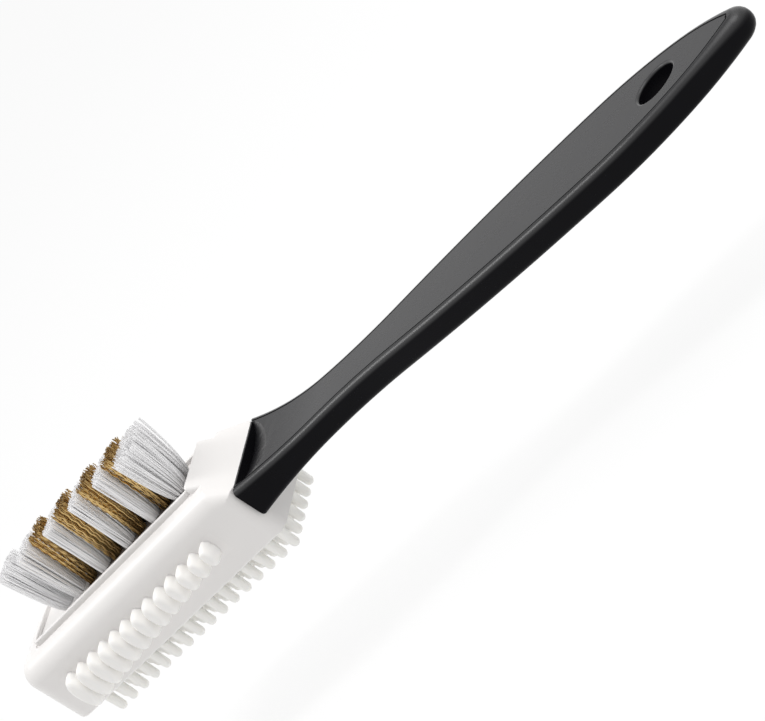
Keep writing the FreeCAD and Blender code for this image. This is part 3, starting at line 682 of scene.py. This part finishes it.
def handle_plan(sizes):
    """Half of the handle's plan: neck from beyond the collar, waist, belly, run to the tip, tip."""
    waist = Vector((sizes.waist_along, sizes.waist_half_width))
    belly = Vector((sizes.reach - sizes.belly_from_tip, sizes.belly_half_width))
    tip = Vector((sizes.reach - sizes.tip_radius, 0.0))
    neck_rise = sizes.collar_half_width - waist.y
    neck_radius = (waist.x ** 2 + neck_rise ** 2) / (2 * neck_rise)
    neck_centre = waist + Vector((0.0, neck_radius))
    run, rise = belly - waist
    belly_radius = (run ** 2 + rise ** 2) / (2 * rise) - sizes.waist_radius
    waist_centre = waist + Vector((0.0, sizes.waist_radius))
    belly_centre = belly - Vector((0.0, belly_radius))
    end_run = tip.x - belly.x
    end_radius = (end_run ** 2 + belly.y ** 2 - sizes.tip_radius ** 2) / 2
    end_radius /= belly.y - sizes.tip_radius
    end_centre = belly - Vector((0.0, end_radius))
    quarter = math.pi / 2
    spare = 3 * sizes.edge_radius
    start = -quarter - math.asin((waist.x + spare) / neck_radius)
    turn = bearing(waist_centre, belly_centre)
    last = bearing(end_centre, tip)
    return (arc(neck_centre, neck_radius, start, -quarter, 18, True)
            + arc(waist_centre, sizes.waist_radius, -quarter, turn, 14, True)[1:]
            + arc(belly_centre, belly_radius, turn + math.pi, quarter, 14)[1:]
            + arc(end_centre, end_radius, quarter, last, 16)[1:]
            + arc(tip, sizes.tip_radius, last, 0.0, 8)[1:])


def build_handle(sizes):
    """Paddle handle with a rolled edge, a fine groove, a hanging hole and a thumb scoop."""
    flare_rise = sizes.collar_height - sizes.thickness
    flare_radius = (sizes.flare ** 2 + flare_rise ** 2) / (2 * flare_rise)

    def top(along):
        short = max(0.0, sizes.flare - along)
        return sizes.thickness + flare_radius - math.sqrt(flare_radius ** 2 - short ** 2)

    # The rolled edge grows towards the tip and rounds it to a nose.
    def nose(along, growth):
        run = 4 * sizes.tip_radius
        near = min(1.0, max(0.0, (along - sizes.reach + run) / run))
        return 1.0 + (growth - 1.0) * near * near

    def inside(inset, extra=0.0):
        return lambda along: inset * nose(along, sizes.nose_inset) + extra

    def below_top(drop, extra=0.0):
        return lambda along: top(along) - drop * nose(along, sizes.nose_drop) - extra

    def above_bottom(rise):
        def level(along):
            short = max(0.0, 1.0 - along / sizes.flare)
            return rise * nose(along, sizes.nose_drop) - sizes.sag * short * short
        return level

    edge = rolled_edge(sizes.edge_radius, 6)
    width, depth = sizes.groove_width, sizes.groove_depth
    section = [(inside(sizes.edge_radius, FLAT), above_bottom(0.0))]
    section += [(inside(inset), above_bottom(rise)) for inset, rise in edge]
    section += [(inside(inset), below_top(drop)) for inset, drop in reversed(edge)]
    for across, deep in ((0.0, 0.0), (0.2, 0.8), (0.5, 1.0), (0.8, 0.8), (1.0, 0.0), (1.3, 0.0)):
        extra = FLAT + across * width
        section.append((inside(sizes.edge_radius, extra), below_top(0.0, deep * depth)))
    place = COLLAR @ Matrix.Translation((0.0, 0.0, sizes.seat)) @ Matrix.Rotation(sizes.droop, 4, "Y")
    handle = plan_solid("handle_shell", handle_plan(sizes), section, place)
    wide = 2 * sizes.collar_half_width
    combine(handle, bar("collar_face", (-wide, -wide, -wide), (0.0, wide, wide)), "DIFFERENCE")

    lip = sizes.hole_lip
    flank = [(sizes.hole_radius + inset, rise) for inset, rise in rolled_edge(lip, 4)]
    flank = [(sizes.hole_radius + lip, -lip)] + flank
    flank += [(radius, sizes.thickness - rise) for radius, rise in reversed(flank)]
    middle = sizes.reach - sizes.hole_from_tip
    combine(handle, turned("hanging_hole", flank, HOLE_SIDES, place, middle), "DIFFERENCE")

    # The scoop is deepest against its lip and runs out in an oval line on the top.
    over = sizes.collar_height + sizes.flare
    lip = sizes.scoop_lip
    rings = []
    for step in range(SCOOP_STEPS + 1):
        turn = math.pi * (step / SCOOP_STEPS - 0.5) * SCOOP_SPAN
        aside = sizes.scoop_half_width * math.sin(turn)
        lopsided = 1.0 - sizes.scoop_skew * math.sin(turn)
        end = lip + (sizes.scoop_length - lip) * math.cos(turn) * lopsided
        floor = top(lip) - sizes.scoop_depth * math.cos(turn)
        rings.append([Vector((lip, aside, floor)), Vector((end, aside, top(end))),
                      Vector((end, aside, over)), Vector((lip, aside, over))])
    combine(handle, mesh_through("thumb_scoop", rings, place), "DIFFERENCE")
    return handle


def build_head(head, rubber):
    """White head: rounded shoulders, sloping crest, and seats for the block, blades and comb."""
    far = -head.reach
    fall = (head.crest_top - head.collar_top) / head.crest_along

    def roof(along):
        return min(head.top, head.collar_top + fall * max(0.0, -along))

    def swell(along):
        climb = (roof(along) - head.collar_top) / (head.top - head.collar_top)
        return 1.0 - (1.0 - head.near_shoulder / head.shoulder) * (1.0 - climb)

    def below_roof(drop):
        return lambda along: roof(along) - drop * swell(along)

    def inside(inset):
        return lambda along: inset * swell(along)

    section = [(head.lower_edge + LEDGE, -SKIRT)]
    section += [(inset, rise - SKIRT) for inset, rise in rolled_edge(head.lower_edge, 4)]
    shoulder = reversed(rolled_edge(head.shoulder, 10))
    section += [(inside(inset), below_roof(drop)) for inset, drop in shoulder]
    section += [(inside(head.shoulder + LEDGE), below_roof(0.0))]
    spare = head.end_corner + head.shoulder
    knee = (head.top - head.collar_top) / fall
    stops = [-knee * step / 8 for step in range(-1, 9)]
    plan = rounded_plan(far, spare, head.half_width, head.end_corner, head.end_corner, stops)
    body = plan_solid("head_shell", plan, section)

    # The shell runs on past the collar and is cut there with rounded upright corners.
    high = head.crest_top + head.reach
    reach = 2 * head.half_width
    corner = head.near_corner
    inner = Vector((-corner, head.half_width - corner))
    edge = [point for point, _ in arc(inner, corner, 0.0, math.pi / 2, CORNER_STEPS)]
    edge += [Vector((-corner, reach)), Vector((head.reach, reach))]
    outline = edge + [Vector((point.x, -point.y)) for point in reversed(edge)]
    combine(body, prism("collar_end", outline, -high, high), "DIFFERENCE")

    land = head.half_width - head.shoulder
    sunk = head.collar_top + head.near_shoulder
    foot = (sunk - head.collar_top) / fall
    profile = [(-head.crest_along, sunk), (-head.crest_along, head.crest_top), (-foot, sunk)]
    rings = [[Vector((x, y, z)) for x, z in profile] for y in (-land, land)]
    crest = mesh_through("crest", rings)
    soften(crest, head.crest_edge)
    combine(body, crest, "UNION")

    left = -(head.crest_along + head.fit + head.block_reach)
    right = -head.crest_along + CREST_CUT
    for name, gap, bottom in (("block_seat", BLOCK_GAP, head.block_bottom),
                              ("moat", head.moat_width, head.top - head.moat_depth)):
        corner = head.block_corner + gap
        plan = rounded_plan(left - gap, right, head.block_half_width + gap, corner, corner)
        combine(body, plan_solid(name, plan, [(0.0, bottom), (0.0, high)]), "DIFFERENCE")

    gap = RUBBER_GAP
    low = (-(rubber.strip_along + rubber.strip_reach + gap), -reach, rubber.strip_bottom - gap)
    top = (-(rubber.strip_along - gap), rubber.strip_root - head.half_width,
           rubber.strip_bottom + rubber.strip_height + gap)
    combine(body, bar("strip_seat", low, top), "DIFFERENCE")
    plan = rounded_plan(-(rubber.comb_along + rubber.comb_reach + gap), gap - rubber.comb_along,
                        rubber.comb_half_width + gap, rubber.comb_corner, rubber.comb_corner)
    combine(body, plan_solid("comb_seat", plan, [(0.0, -high), (0.0, rubber.comb_root)]), "DIFFERENCE")
    return body


def soften(piece, radius, segments=3):
    """Rounds all edges of a plain solid."""
    work = bmesh.new()
    work.from_mesh(piece.data)
    bmesh.ops.bevel(work, geom=list(work.edges), offset=radius, segments=segments, profile=0.5,
                    affect="EDGES", clamp_overlap=True)
    work.to_mesh(piece.data)
    work.free()


def row_place(settings, number):
    """Distance of a tuft row from the collar, along the head."""
    head, tufts = settings.head, settings.tufts
    return -(head.crest_along + head.fit + tufts.row_margin + number * tufts.row_pitch)


def build_block(settings):
    """Bristle block: a rim round a sunk floor, drilled for the tufts."""
    head, tufts = settings.head, settings.tufts
    right = -(head.crest_along + head.fit)
    floor = head.rim_top - head.well_depth
    soft = rolled_edge(head.rim_width * RIM_ROUNDING, 3)
    section = [(0.0, head.block_bottom)]
    section += [(inset, head.rim_top - drop) for inset, drop in reversed(soft)]
    section += [(head.rim_width - inset, head.rim_top - drop) for inset, drop in soft]
    section += [(head.rim_width, floor), (head.rim_width + LEDGE, floor)]
    plan = rounded_plan(right - head.block_reach, right, head.block_half_width,
                        head.block_corner, head.block_corner)
    block = plan_solid("bristle_block_rim", plan, section)
    drills = bmesh.new()
    for row in range(len(BRASS_PLACES + NYLON_PLACES)):
        for tuft in range(tufts.across):
            aside = (tuft - (tufts.across - 1) / 2) * tufts.pitch
            spot = COLLAR @ Vector((row_place(settings, row), aside, floor))
            bmesh.ops.create_cone(drills, cap_ends=True, segments=TUFT_HOLE_SIDES,
                                  radius1=tufts.hole_radius, radius2=tufts.hole_radius,
                                  depth=2 * tufts.hole_depth, matrix=Matrix.Translation(spot))
    combine(block, add_shape("tuft_holes", drills), "DIFFERENCE")
    return block


def new_group(name, sockets):
    """Geometry tree with named inputs, its input node and its sockets' identifiers."""
    tree = bpy.data.node_groups.new(name, "GeometryNodeTree")
    tree.interface.new_socket("Geometry", in_out="OUTPUT", socket_type="NodeSocketGeometry")
    tree.interface.new_socket("Geometry", in_out="INPUT", socket_type="NodeSocketGeometry")
    keys = {}
    for label, kind in sockets.items():
        socket = tree.interface.new_socket(label, in_out="INPUT", socket_type="NodeSocket" + kind)
        keys[label] = socket.identifier
    graph = Graph(tree)
    return graph, graph.add("NodeGroupInput", None, None, "Geometry"), keys


def grown(piece, graph, result, keys, values):
    """Runs a geometry tree on a piece and keeps the plain mesh that it makes."""
    output = graph.tree.nodes.new("NodeGroupOutput")
    graph.tree.links.new(result.socket, output.inputs["Geometry"])
    modifier = piece.modifiers.new("grow", "NODES")
    modifier.node_group = graph.tree
    for label, key in keys.items():
        modifier[key] = values[label]
    mesh = evaluated_mesh(piece)
    if not mesh.polygons:
        raise RuntimeError("%s grew nothing" % piece.name)
    piece.modifiers.remove(modifier)
    piece.data = mesh
    return piece


TUFT_SOCKETS = {
    "Tufts": "Int", "Filaments": "Int", "Pitch": "Float", "Root radius": "Float",
    "Tip length": "Float", "Tip width": "Float", "Opening": "Float", "Length": "Float",
    "Lean": "Float", "Trim": "Float", "Wave": "Float", "Waves": "Float", "Points": "Int",
    "Thickness": "Float", "Seed": "Int", "Material": "Material",
}


def tuft_row(name, place, values):
    """Row of tufts: every filament starts in its hole, bends or crimps, and fans out to its tip."""
    graph, start, keys = new_group(name, TUFT_SOCKETS)

    def given(label):
        return start.output(label)

    def chance(low, high, step):
        inputs = {2: low, 3: high, "Seed": given("Seed") + step}
        return graph.add("FunctionNodeRandomValue", {"data_type": "FLOAT"}, inputs, 1)

    index = graph.add("GeometryNodeInputIndex")
    tuft = graph.maths("FLOOR", (index + 0.5) / given("Filaments"))
    aside = (tuft - (given("Tufts") - 1.0) * 0.5) * given("Pitch")
    turn = chance(0.0, 2 * math.pi, 1)
    reach = graph.maths("SQRT", chance(0.0, 1.0, 2))
    cosine, sine = graph.maths("COSINE", turn), graph.maths("SINE", turn)
    foot = reach * given("Root radius")
    spread = reach * chance(0.8, 1.15, 3)
    root = graph.combine(cosine * foot, aside + sine * foot, 0.0)
    out_x = cosine * spread * given("Tip length")
    out_y = sine * spread * given("Tip width")
    # A filament that leans out ends lower.
    loss = (out_x * out_x + out_y * out_y) / given("Length") * LOWERED
    end = given("Length") - chance(0.0, 1.0, 4) * given("Trim") - loss
    tip = graph.combine(out_x + given("Lean"), aside + out_y, end)

    points = graph.add("GeometryNodePoints", None, {"Count": given("Tufts") * given("Filaments")})
    for label, kind, value in (("root", "FLOAT_VECTOR", root), ("tip", "FLOAT_VECTOR", tip),
                               ("phase", "FLOAT", chance(0.0, 2 * math.pi, 5)),
                               ("side", "FLOAT", chance(0.0, 2 * math.pi, 6))):
        points = graph.add("GeometryNodeStoreNamedAttribute", {"data_type": kind, "domain": "POINT"},
                           {"Geometry": points, "Name": label, "Value": value})
    line = graph.add("GeometryNodeCurvePrimitiveLine", None, {"Start": (0, 0, 0), "End": (0, 0, 1)})
    line = graph.add("GeometryNodeResampleCurve", None, {"Curve": line, "Count": given("Points")})
    strands = graph.add("GeometryNodeInstanceOnPoints", None, {"Points": points, "Instance": line})
    strands = graph.add("GeometryNodeRealizeInstances", None, {"Geometry": strands})

    def stored(label, kind):
        return graph.add("GeometryNodeInputNamedAttribute", {"data_type": kind}, {"Name": label})

    along = graph.add("GeometryNodeSplineParameter", None, None, "Factor")
    root, tip = stored("root", "FLOAT_VECTOR"), stored("tip", "FLOAT_VECTOR")
    phase, side = stored("phase", "FLOAT"), stored("side", "FLOAT")
    rise = graph.vector("MULTIPLY", graph.vector("SUBTRACT", tip, root), (0.0, 0.0, 1.0))
    out = graph.vector("MULTIPLY", graph.vector("SUBTRACT", tip, root), (1.0, 1.0, 0.0))
    # A tuft is tight in its hole and opens soon after it leaves it.
    opening = graph.add("ShaderNodeMapRange", {"interpolation_type": "LINEAR"},
                        {"Value": along, "From Min": HELD, "From Max": 1.0})
    opening = graph.maths("POWER", opening, given("Opening"))
    swing = graph.maths("SINE", along * given("Waves") + phase) * given("Wave")
    sway = graph.combine(graph.maths("COSINE", side) * swing, graph.maths("SINE", side) * swing, 0.0)
    spot = graph.vector("ADD", root, graph.scaled(rise, along))
    spot = graph.vector("ADD", spot, graph.scaled(out, opening))
    spot = graph.vector("ADD", spot, sway)
    strands = graph.add("GeometryNodeSetPosition", None, {"Geometry": strands, "Position": spot})
    profile = graph.add("GeometryNodeCurvePrimitiveCircle", None,
                        {"Resolution": 3, "Radius": given("Thickness")})
    result = graph.add("GeometryNodeCurveToMesh", None,
                       {"Curve": strands, "Profile Curve": profile, "Fill Caps": True})
    for label in ("root", "tip", "phase", "side"):
        result = graph.add("GeometryNodeRemoveAttribute", None, {"Geometry": result, "Name": label})
    result = graph.add("GeometryNodeTransform", None, {"Geometry": result, "Translation": place})
    result = graph.add("GeometryNodeRealizeInstances", None, {"Geometry": result})
    result = graph.add("GeometryNodeSetMaterial", None,
                       {"Geometry": result, "Material": given("Material")})
    return grown(add_object(name, bpy.data.meshes.new(name)), graph, result, keys, values)


def row_lean(tufts, number):
    """Lean of a row: all lean a little to the handle, and the last ones outwards."""
    last = len(BRASS_PLACES + NYLON_PLACES) - 1
    return tufts.lean - {last: 1.0, last - 1: 0.4}.get(number, 0.0) * tufts.far_splay


def build_tufts(settings, nodes, places, material, slot, values):
    """All rows of one kind of filament."""
    head, tufts = settings.head, settings.tufts
    bottom = head.rim_top - head.well_depth - tufts.hole_depth
    for node, number in zip(nodes, places):
        place = COLLAR @ Vector((row_place(settings, number), 0.0, bottom))
        row = tuft_row(node + "_filaments", place, {
            "Tufts": tufts.across,
            "Pitch": tufts.pitch,
            "Root radius": tufts.hole_radius * 0.9,
            "Trim": tufts.trim,
            "Lean": row_lean(tufts, number),
            "Seed": 100 * number + 7,
            "Material": material,
            **values,
            "Length": values["Height"] - bottom,
            "Tip length": tufts.first_spread if number == 0 else values["Tip length"],
            "Tip width": tufts.first_width if number == 0 else values["Tip width"],
        })
        present(row, material, slot, node)


LINE_SOCKETS = {"Count": "Int", "Step": "Vector", "Start": "Vector", "Growth": "Float",
                "Material": "Material"}
GRID_SOCKETS = {"Along": "Int", "Across": "Int", "Length": "Float", "Width": "Float",
                "Middle": "Vector", "Material": "Material"}


def repeat_on_line(piece, values):
    """Copies of a shape, evenly spaced on a line and larger towards its start."""
    graph, start, keys = new_group(piece.name, LINE_SOCKETS)
    line = graph.add("GeometryNodeMeshLine", {"mode": "OFFSET"}, {
        "Count": start.output("Count"),
        "Start Location": start.output("Start"),
        "Offset": start.output("Step"),
    })
    along = graph.add("GeometryNodeInputIndex") / (start.output("Count") - 1.0)
    extra = (1.0 - along) * start.output("Growth")
    size = graph.combine(1.0 + extra * 0.5, 1.0, 1.0 + extra)
    return scatter(piece, graph, start, line, keys, values, size)


def repeat_on_grid(piece, values):
    """Copies of a shape, in rows and columns on a level grid."""
    graph, start, keys = new_group(piece.name, GRID_SOCKETS)
    grid = graph.add("GeometryNodeMeshGrid", None, {
        "Size X": start.output("Length"),
        "Size Y": start.output("Width"),
        "Vertices X": start.output("Along"),
        "Vertices Y": start.output("Across"),
    })
    grid = graph.add("GeometryNodeTransform", None,
                     {"Geometry": grid, "Translation": start.output("Middle")})
    return scatter(piece, graph, start, grid, keys, values)


def scatter(piece, graph, start, points, keys, values, size=(1.0, 1.0, 1.0)):
    """Puts the piece's own shape on every point and keeps the result."""
    copies = graph.add("GeometryNodeInstanceOnPoints", None,
                       {"Points": points, "Instance": start, "Scale": size})
    copies = graph.add("GeometryNodeRealizeInstances", None, {"Geometry": copies})
    result = graph.add("GeometryNodeSetMaterial", None,
                       {"Geometry": copies, "Material": start.output("Material")})
    return grown(piece, graph, result, keys, values)


def merge(piece, other):
    """Adds another piece's mesh to a piece."""
    work = bmesh.new()
    work.from_mesh(piece.data)
    work.from_mesh(other.data)
    work.to_mesh(piece.data)
    work.free()
    bpy.data.objects.remove(other)


def build_blades(head, rubber, material):
    """Strip of rounded rubber blades along the side of the head."""
    half, thick = rubber.blade_width / 2, rubber.blade_thickness / 2
    leaf = [(0.0, 1.0), (0.3, 0.95), (0.62, 0.78), (0.88, 0.5), (1.0, 0.2), (1.0, 0.0)]
    quarter = [(x * thick, z * half) for x, z in leaf]
    outline = quarter + [(x, -z) for x, z in reversed(quarter[:-1])]
    outline += [(-x, -z) for x, z in quarter[1:]] + [(-x, z) for x, z in reversed(quarter[1:-1])]
    steps = [(0.0, 1.0, 1.0), (0.5, 0.97, 0.98), (0.74, 0.9, 0.94), (0.89, 0.77, 0.86),
             (0.97, 0.58, 0.72), (1.0, 0.36, 0.52)]
    rings = []
    for out, thin, narrow in steps:
        depth = -out * rubber.blade_reach
        rings.append([Vector((x * thin, depth, z * narrow)) for x, z in outline])
    rings.insert(0, [Vector((x, BLADE_ROOT, z)) for x, z in outline])
    blade = mesh_through("rubber_blades", rings, Matrix.Identity(4))
    # The upper points lie on a level line, so the larger blades hang lower.
    hang = half * rubber.blade_growth
    first = Vector((-(rubber.strip_along + rubber.strip_reach - rubber.strip_margin),
                    -head.half_width, rubber.blade_top - half - hang))
    gaps = rubber.blades - 1
    pitch = (rubber.strip_reach - 2 * rubber.strip_margin) / gaps
    repeat_on_line(blade, {
        "Count": rubber.blades,
        "Step": (pitch, 0.0, hang / gaps),
        "Start": COLLAR @ first,
        "Growth": rubber.blade_growth,
        "Material": material,
    })
    low = (-(rubber.strip_along + rubber.strip_reach), -head.half_width, rubber.strip_bottom)
    high = (-rubber.strip_along, rubber.strip_root - head.half_width,
            rubber.strip_bottom + rubber.strip_height)
    merge(blade, bar("strip_base", low, high))
    return blade


def build_comb(rubber, material):
    """Rubber comb: rows of round-tipped fingers under a base plate."""
    tip, foot, reach = rubber.finger_tip_radius, rubber.finger_radius, rubber.finger_reach
    bottom = -reach
    profile = [(foot * 1.25, 0.5 * MM), (foot * 1.22, 0.0), (foot, -0.6 * MM), (foot, -0.12 * reach),
               (tip, tip + bottom)]
    for step in range(1, 5):
        turn = math.pi / 2 * step / 5
        profile.append((tip * math.cos(turn), bottom + tip * (1 - math.sin(turn))))
    profile.append((tip * 0.12, bottom))
    comb = turned("rubber_comb", profile, FINGER_SIDES, Matrix.Identity(4))
    middle = Vector((-(rubber.comb_along + rubber.comb_reach / 2), 0.0, 0.0))
    repeat_on_grid(comb, {
        "Along": rubber.fingers_along,
        "Across": rubber.fingers_across,
        "Length": rubber.comb_reach - 2 * rubber.finger_margin,
        "Width": 2 * (rubber.comb_half_width - rubber.finger_margin_across),
        "Middle": COLLAR @ middle,
        "Material": material,
    })
    plan = rounded_plan(-(rubber.comb_along + rubber.comb_reach), -rubber.comb_along,
                        rubber.comb_half_width, rubber.comb_corner, rubber.comb_corner)
    edge = rolled_edge(COMB_EDGE, 3)
    merge(comb, plan_solid("comb_base", plan, edge + [(0.0, rubber.comb_root)]))
    return comb


def seen_directly(graph):
    """1 for rays from the camera, in reflections and through clear things, 0 for other light."""
    path = graph.add("ShaderNodeLightPath", None, None, "Is Camera Ray")
    mirrored = graph.maths("MAXIMUM", path.output("Is Glossy Ray"), path.output("Is Transmission Ray"))
    return graph.maths("MAXIMUM", path, mirrored)


def lit_surface(name, tint, camera_share):
    """Pale surface that the camera and reflections see near white, and that still takes shadow."""
    material = bpy.data.materials.new(name)
    material.use_nodes = True
    graph = Graph(material.node_tree)
    matt = graph.tree.nodes["Principled BSDF"]
    matt.inputs["Base Color"].default_value = (*tint, 1.0)
    matt.inputs["Roughness"].default_value = 0.9
    matt.inputs["Specular IOR Level"].default_value = 0.0
    white = graph.add("ShaderNodeEmission", None, {"Color": (1.0, 1.0, 1.0, 1.0), "Strength": 1.0})
    mixed = graph.add("ShaderNodeMixShader", None,
                      {0: seen_directly(graph) * camera_share, 1: Field(graph, matt.outputs[0]),
                       2: white})
    graph.tree.links.new(mixed.socket, graph.tree.nodes["Material Output"].inputs["Surface"])
    return material


def add_floor(stage):
    """Level floor under the brush, wide enough to reach the horizon."""
    mesh = bpy.data.meshes.new("floor")
    corners = ((-1, -1), (1, -1), (1, 1), (-1, 1))
    spots = [(x * FLOOR_REACH, y * FLOOR_REACH, FLOOR_LEVEL) for x, y in corners]
    mesh.from_pydata(spots, [], [(0, 1, 2, 3)])
    mesh.materials.append(lit_surface("pale_floor", stage.floor, FLOOR_SHARE))
    floor = add_object("floor", mesh)


def add_world(stage):
    """White surroundings for the camera and reflections over an even, softer light."""
    world = bpy.data.worlds.new("studio")
    world.use_nodes = True
    bpy.context.scene.world = world
    graph = Graph(world.node_tree)
    graph.tree.nodes.clear()
    pure = (1.0, 1.0, 1.0, 1.0)
    soft = graph.add("ShaderNodeBackground", None, {"Color": pure, "Strength": stage.fill_light})
    white = graph.add("ShaderNodeBackground", None, {"Color": pure, "Strength": 1.0})
    mixed = graph.add("ShaderNodeMixShader", None, {0: seen_directly(graph), 1: soft, 2: white})
    output = graph.tree.nodes.new("ShaderNodeOutputWorld")
    graph.tree.links.new(mixed.socket, output.inputs["Surface"])


def add_lamp(name, spot, aim, size, watts):
    """Soft light that faces a point."""
    lamp = bpy.data.lights.new(name, "AREA")
    lamp.shape = "RECTANGLE"
    lamp.size, lamp.size_y = size
    lamp.energy = watts
    holder = add_object(name, lamp)
    holder.location = spot
    holder.rotation_euler = (aim - spot).to_track_quat("-Z", "Y").to_euler()


def add_camera(stage):
    """Camera above the near side of the brush, rolled so that the handle rises to the right."""
    turn, rise, roll = stage.azimuth, stage.elevation, stage.roll
    back = Vector((math.cos(rise) * math.sin(turn), -math.cos(rise) * math.cos(turn), math.sin(rise)))
    level = Vector((0.0, 0.0, 1.0)).cross(back).normalized()
    upright = back.cross(level)
    right = level * math.cos(roll) + upright * math.sin(roll)
    up = back.cross(right)
    camera = bpy.data.cameras.new("camera")
    camera.sensor_width = 36.0
    camera.lens = stage.lens
    camera.clip_start = 0.01
    holder = add_object("camera", camera)
    spot = Vector((stage.aim_x, stage.aim_y, stage.aim_z)) + back * stage.distance
    holder.matrix_world = Matrix.Translation(spot) @ Matrix((right, up, back)).transposed().to_4x4()
    bpy.context.scene.camera = holder


class BrushOperator:
    """Shared parts of the brush's operators."""

    bl_options = {"REGISTER", "UNDO"}

    def execute(self, context):
        self.build(context.scene.suede_brush)
        return {"FINISHED"}


class SUEDE_OT_handle(BrushOperator, bpy.types.Operator):
    """Builds the black paddle handle"""

    bl_idname = "suede.handle"
    bl_label = "Handle"

    def build(self, settings):
        handle = build_handle(settings.handle)
        present(handle, satin_black(settings.handle), "handle_plastic", "handle")


class SUEDE_OT_head(BrushOperator, bpy.types.Operator):
    """Builds the white head"""

    bl_idname = "suede.head"
    bl_label = "Head"

    def build(self, settings):
        head = build_head(settings.head, settings.rubber)
        present(head, white_moulding(settings.head), "head_plastic", "head")


class SUEDE_OT_block(BrushOperator, bpy.types.Operator):
    """Builds the rimmed block that holds the tufts and finishes its wire anchors"""

    bl_idname = "suede.block"
    bl_label = "Bristle block"

    def build(self, settings):
        block = build_block(settings)
        present(block, block_moulding(settings.head), "block_plastic", "bristle_block")
        steel = anchor_steel()
        for node in ("nylon_anchors", "brass_anchors"):
            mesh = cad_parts[node].data
            mesh.materials.clear()
            mesh.materials.append(steel)


class SUEDE_OT_nylon(BrushOperator, bpy.types.Operator):
    """Grows the nylon tufts"""

    bl_idname = "suede.nylon"
    bl_label = "Nylon tufts"

    def build(self, settings):
        tufts = settings.tufts
        build_tufts(settings, NYLON_ROWS, NYLON_PLACES, clear_nylon(tufts), "nylon_bristle", {
            "Filaments": tufts.nylon_count,
            "Height": tufts.top - tufts.nylon_short,
            "Tip length": tufts.nylon_spread,
            "Tip width": tufts.nylon_width,
            "Opening": 0.45,
            "Wave": tufts.nylon_wave,
            "Waves": 4.5,
            "Points": 7,
            "Thickness": tufts.nylon_radius,
        })


class SUEDE_OT_brass(BrushOperator, bpy.types.Operator):
    """Grows the crimped brass tufts"""

    bl_idname = "suede.brass"
    bl_label = "Brass tufts"

    def build(self, settings):
        tufts = settings.tufts
        build_tufts(settings, BRASS_ROWS, BRASS_PLACES, crimped_brass(tufts), "brass_bristle", {
            "Filaments": tufts.brass_count,
            "Height": tufts.top,
            "Tip length": tufts.brass_spread,
            "Tip width": tufts.brass_spread,
            "Opening": 0.75,
            "Wave": tufts.brass_crimp,
            "Waves": 2 * math.pi * 8.5,
            "Points": 35,
            "Thickness": tufts.brass_radius,
        })


class SUEDE_OT_blades(BrushOperator, bpy.types.Operator):
    """Builds the strip of rubber blades"""

    bl_idname = "suede.blades"
    bl_label = "Rubber blades"

    def build(self, settings):
        rubber = settings.rubber
        wall = -settings.head.half_width
        material = soft_rubber("blade_rubber", rubber.blade_rubber, 5 * MM, wall, settings.head.plastic)
        blades = build_blades(settings.head, rubber, material)
        present(blades, material, "blade_rubber", "blade_strip")


class SUEDE_OT_comb(BrushOperator, bpy.types.Operator):
    """Builds the rubber comb"""

    bl_idname = "suede.comb"
    bl_label = "Rubber comb"

    def build(self, settings):
        rubber = settings.rubber
        material = soft_rubber("comb_rubber", rubber.comb_rubber, 4 * MM)
        present(build_comb(rubber, material), material, "comb_rubber", "comb_pad")


class SUEDE_OT_stage(BrushOperator, bpy.types.Operator):
    """Sets up the floor, the lights and the camera"""

    bl_idname = "suede.stage"
    bl_label = "Stage"

    def build(self, settings):
        stage = settings.stage
        add_floor(stage)
        add_world(stage)
        middle = (CAD_BOX[0] + CAD_BOX[1]) / 2
        add_lamp("key_light", middle + KEY_PLACE, middle, KEY_SIZE, stage.key_light)
        add_lamp("rim_light", middle + RIM_PLACE, middle, RIM_SIZE, stage.rim_light)
        add_camera(stage)
        bpy.context.scene.view_settings.view_transform = "Standard"


OPERATORS = (SUEDE_OT_handle, SUEDE_OT_head, SUEDE_OT_block, SUEDE_OT_nylon, SUEDE_OT_brass,
             SUEDE_OT_blades, SUEDE_OT_comb, SUEDE_OT_stage)


class SUEDE_PT_panel(bpy.types.Panel):
    """Buttons and settings of the brush"""

    bl_label = "Suede brush"
    bl_idname = "SUEDE_PT_panel"
    bl_space_type = "VIEW_3D"
    bl_region_type = "UI"
    bl_category = "Brush"

    def draw(self, context):
        for operator in OPERATORS:
            self.layout.operator(operator.bl_idname)
        settings = context.scene.suede_brush
        for part in settings.bl_rna.properties:
            group = getattr(settings, part.identifier, None)
            if not isinstance(group, bpy.types.PropertyGroup):
                continue
            box = self.layout.box()
            box.label(text=part.identifier.capitalize())
            for item in group.bl_rna.properties:
                if item.identifier not in ("rna_type", "name"):
                    box.prop(group, item.identifier)


CLASSES = (HandleSettings, HeadSettings, TuftSettings, RubberSettings, StageSettings,
           BrushSettings, *OPERATORS, SUEDE_PT_panel)


def register():
    for item in CLASSES:
        bpy.utils.register_class(item)
    bpy.types.Scene.suede_brush = PointerProperty(type=BrushSettings)


def unregister():
    del bpy.types.Scene.suede_brush
    for item in reversed(CLASSES):
        bpy.utils.unregister_class(item)


def main():
    register()
    for operator in OPERATORS:
        group, name = operator.bl_idname.split(".")
        getattr(getattr(bpy.ops, group), name)()


if __name__ == "__main__":
    main()
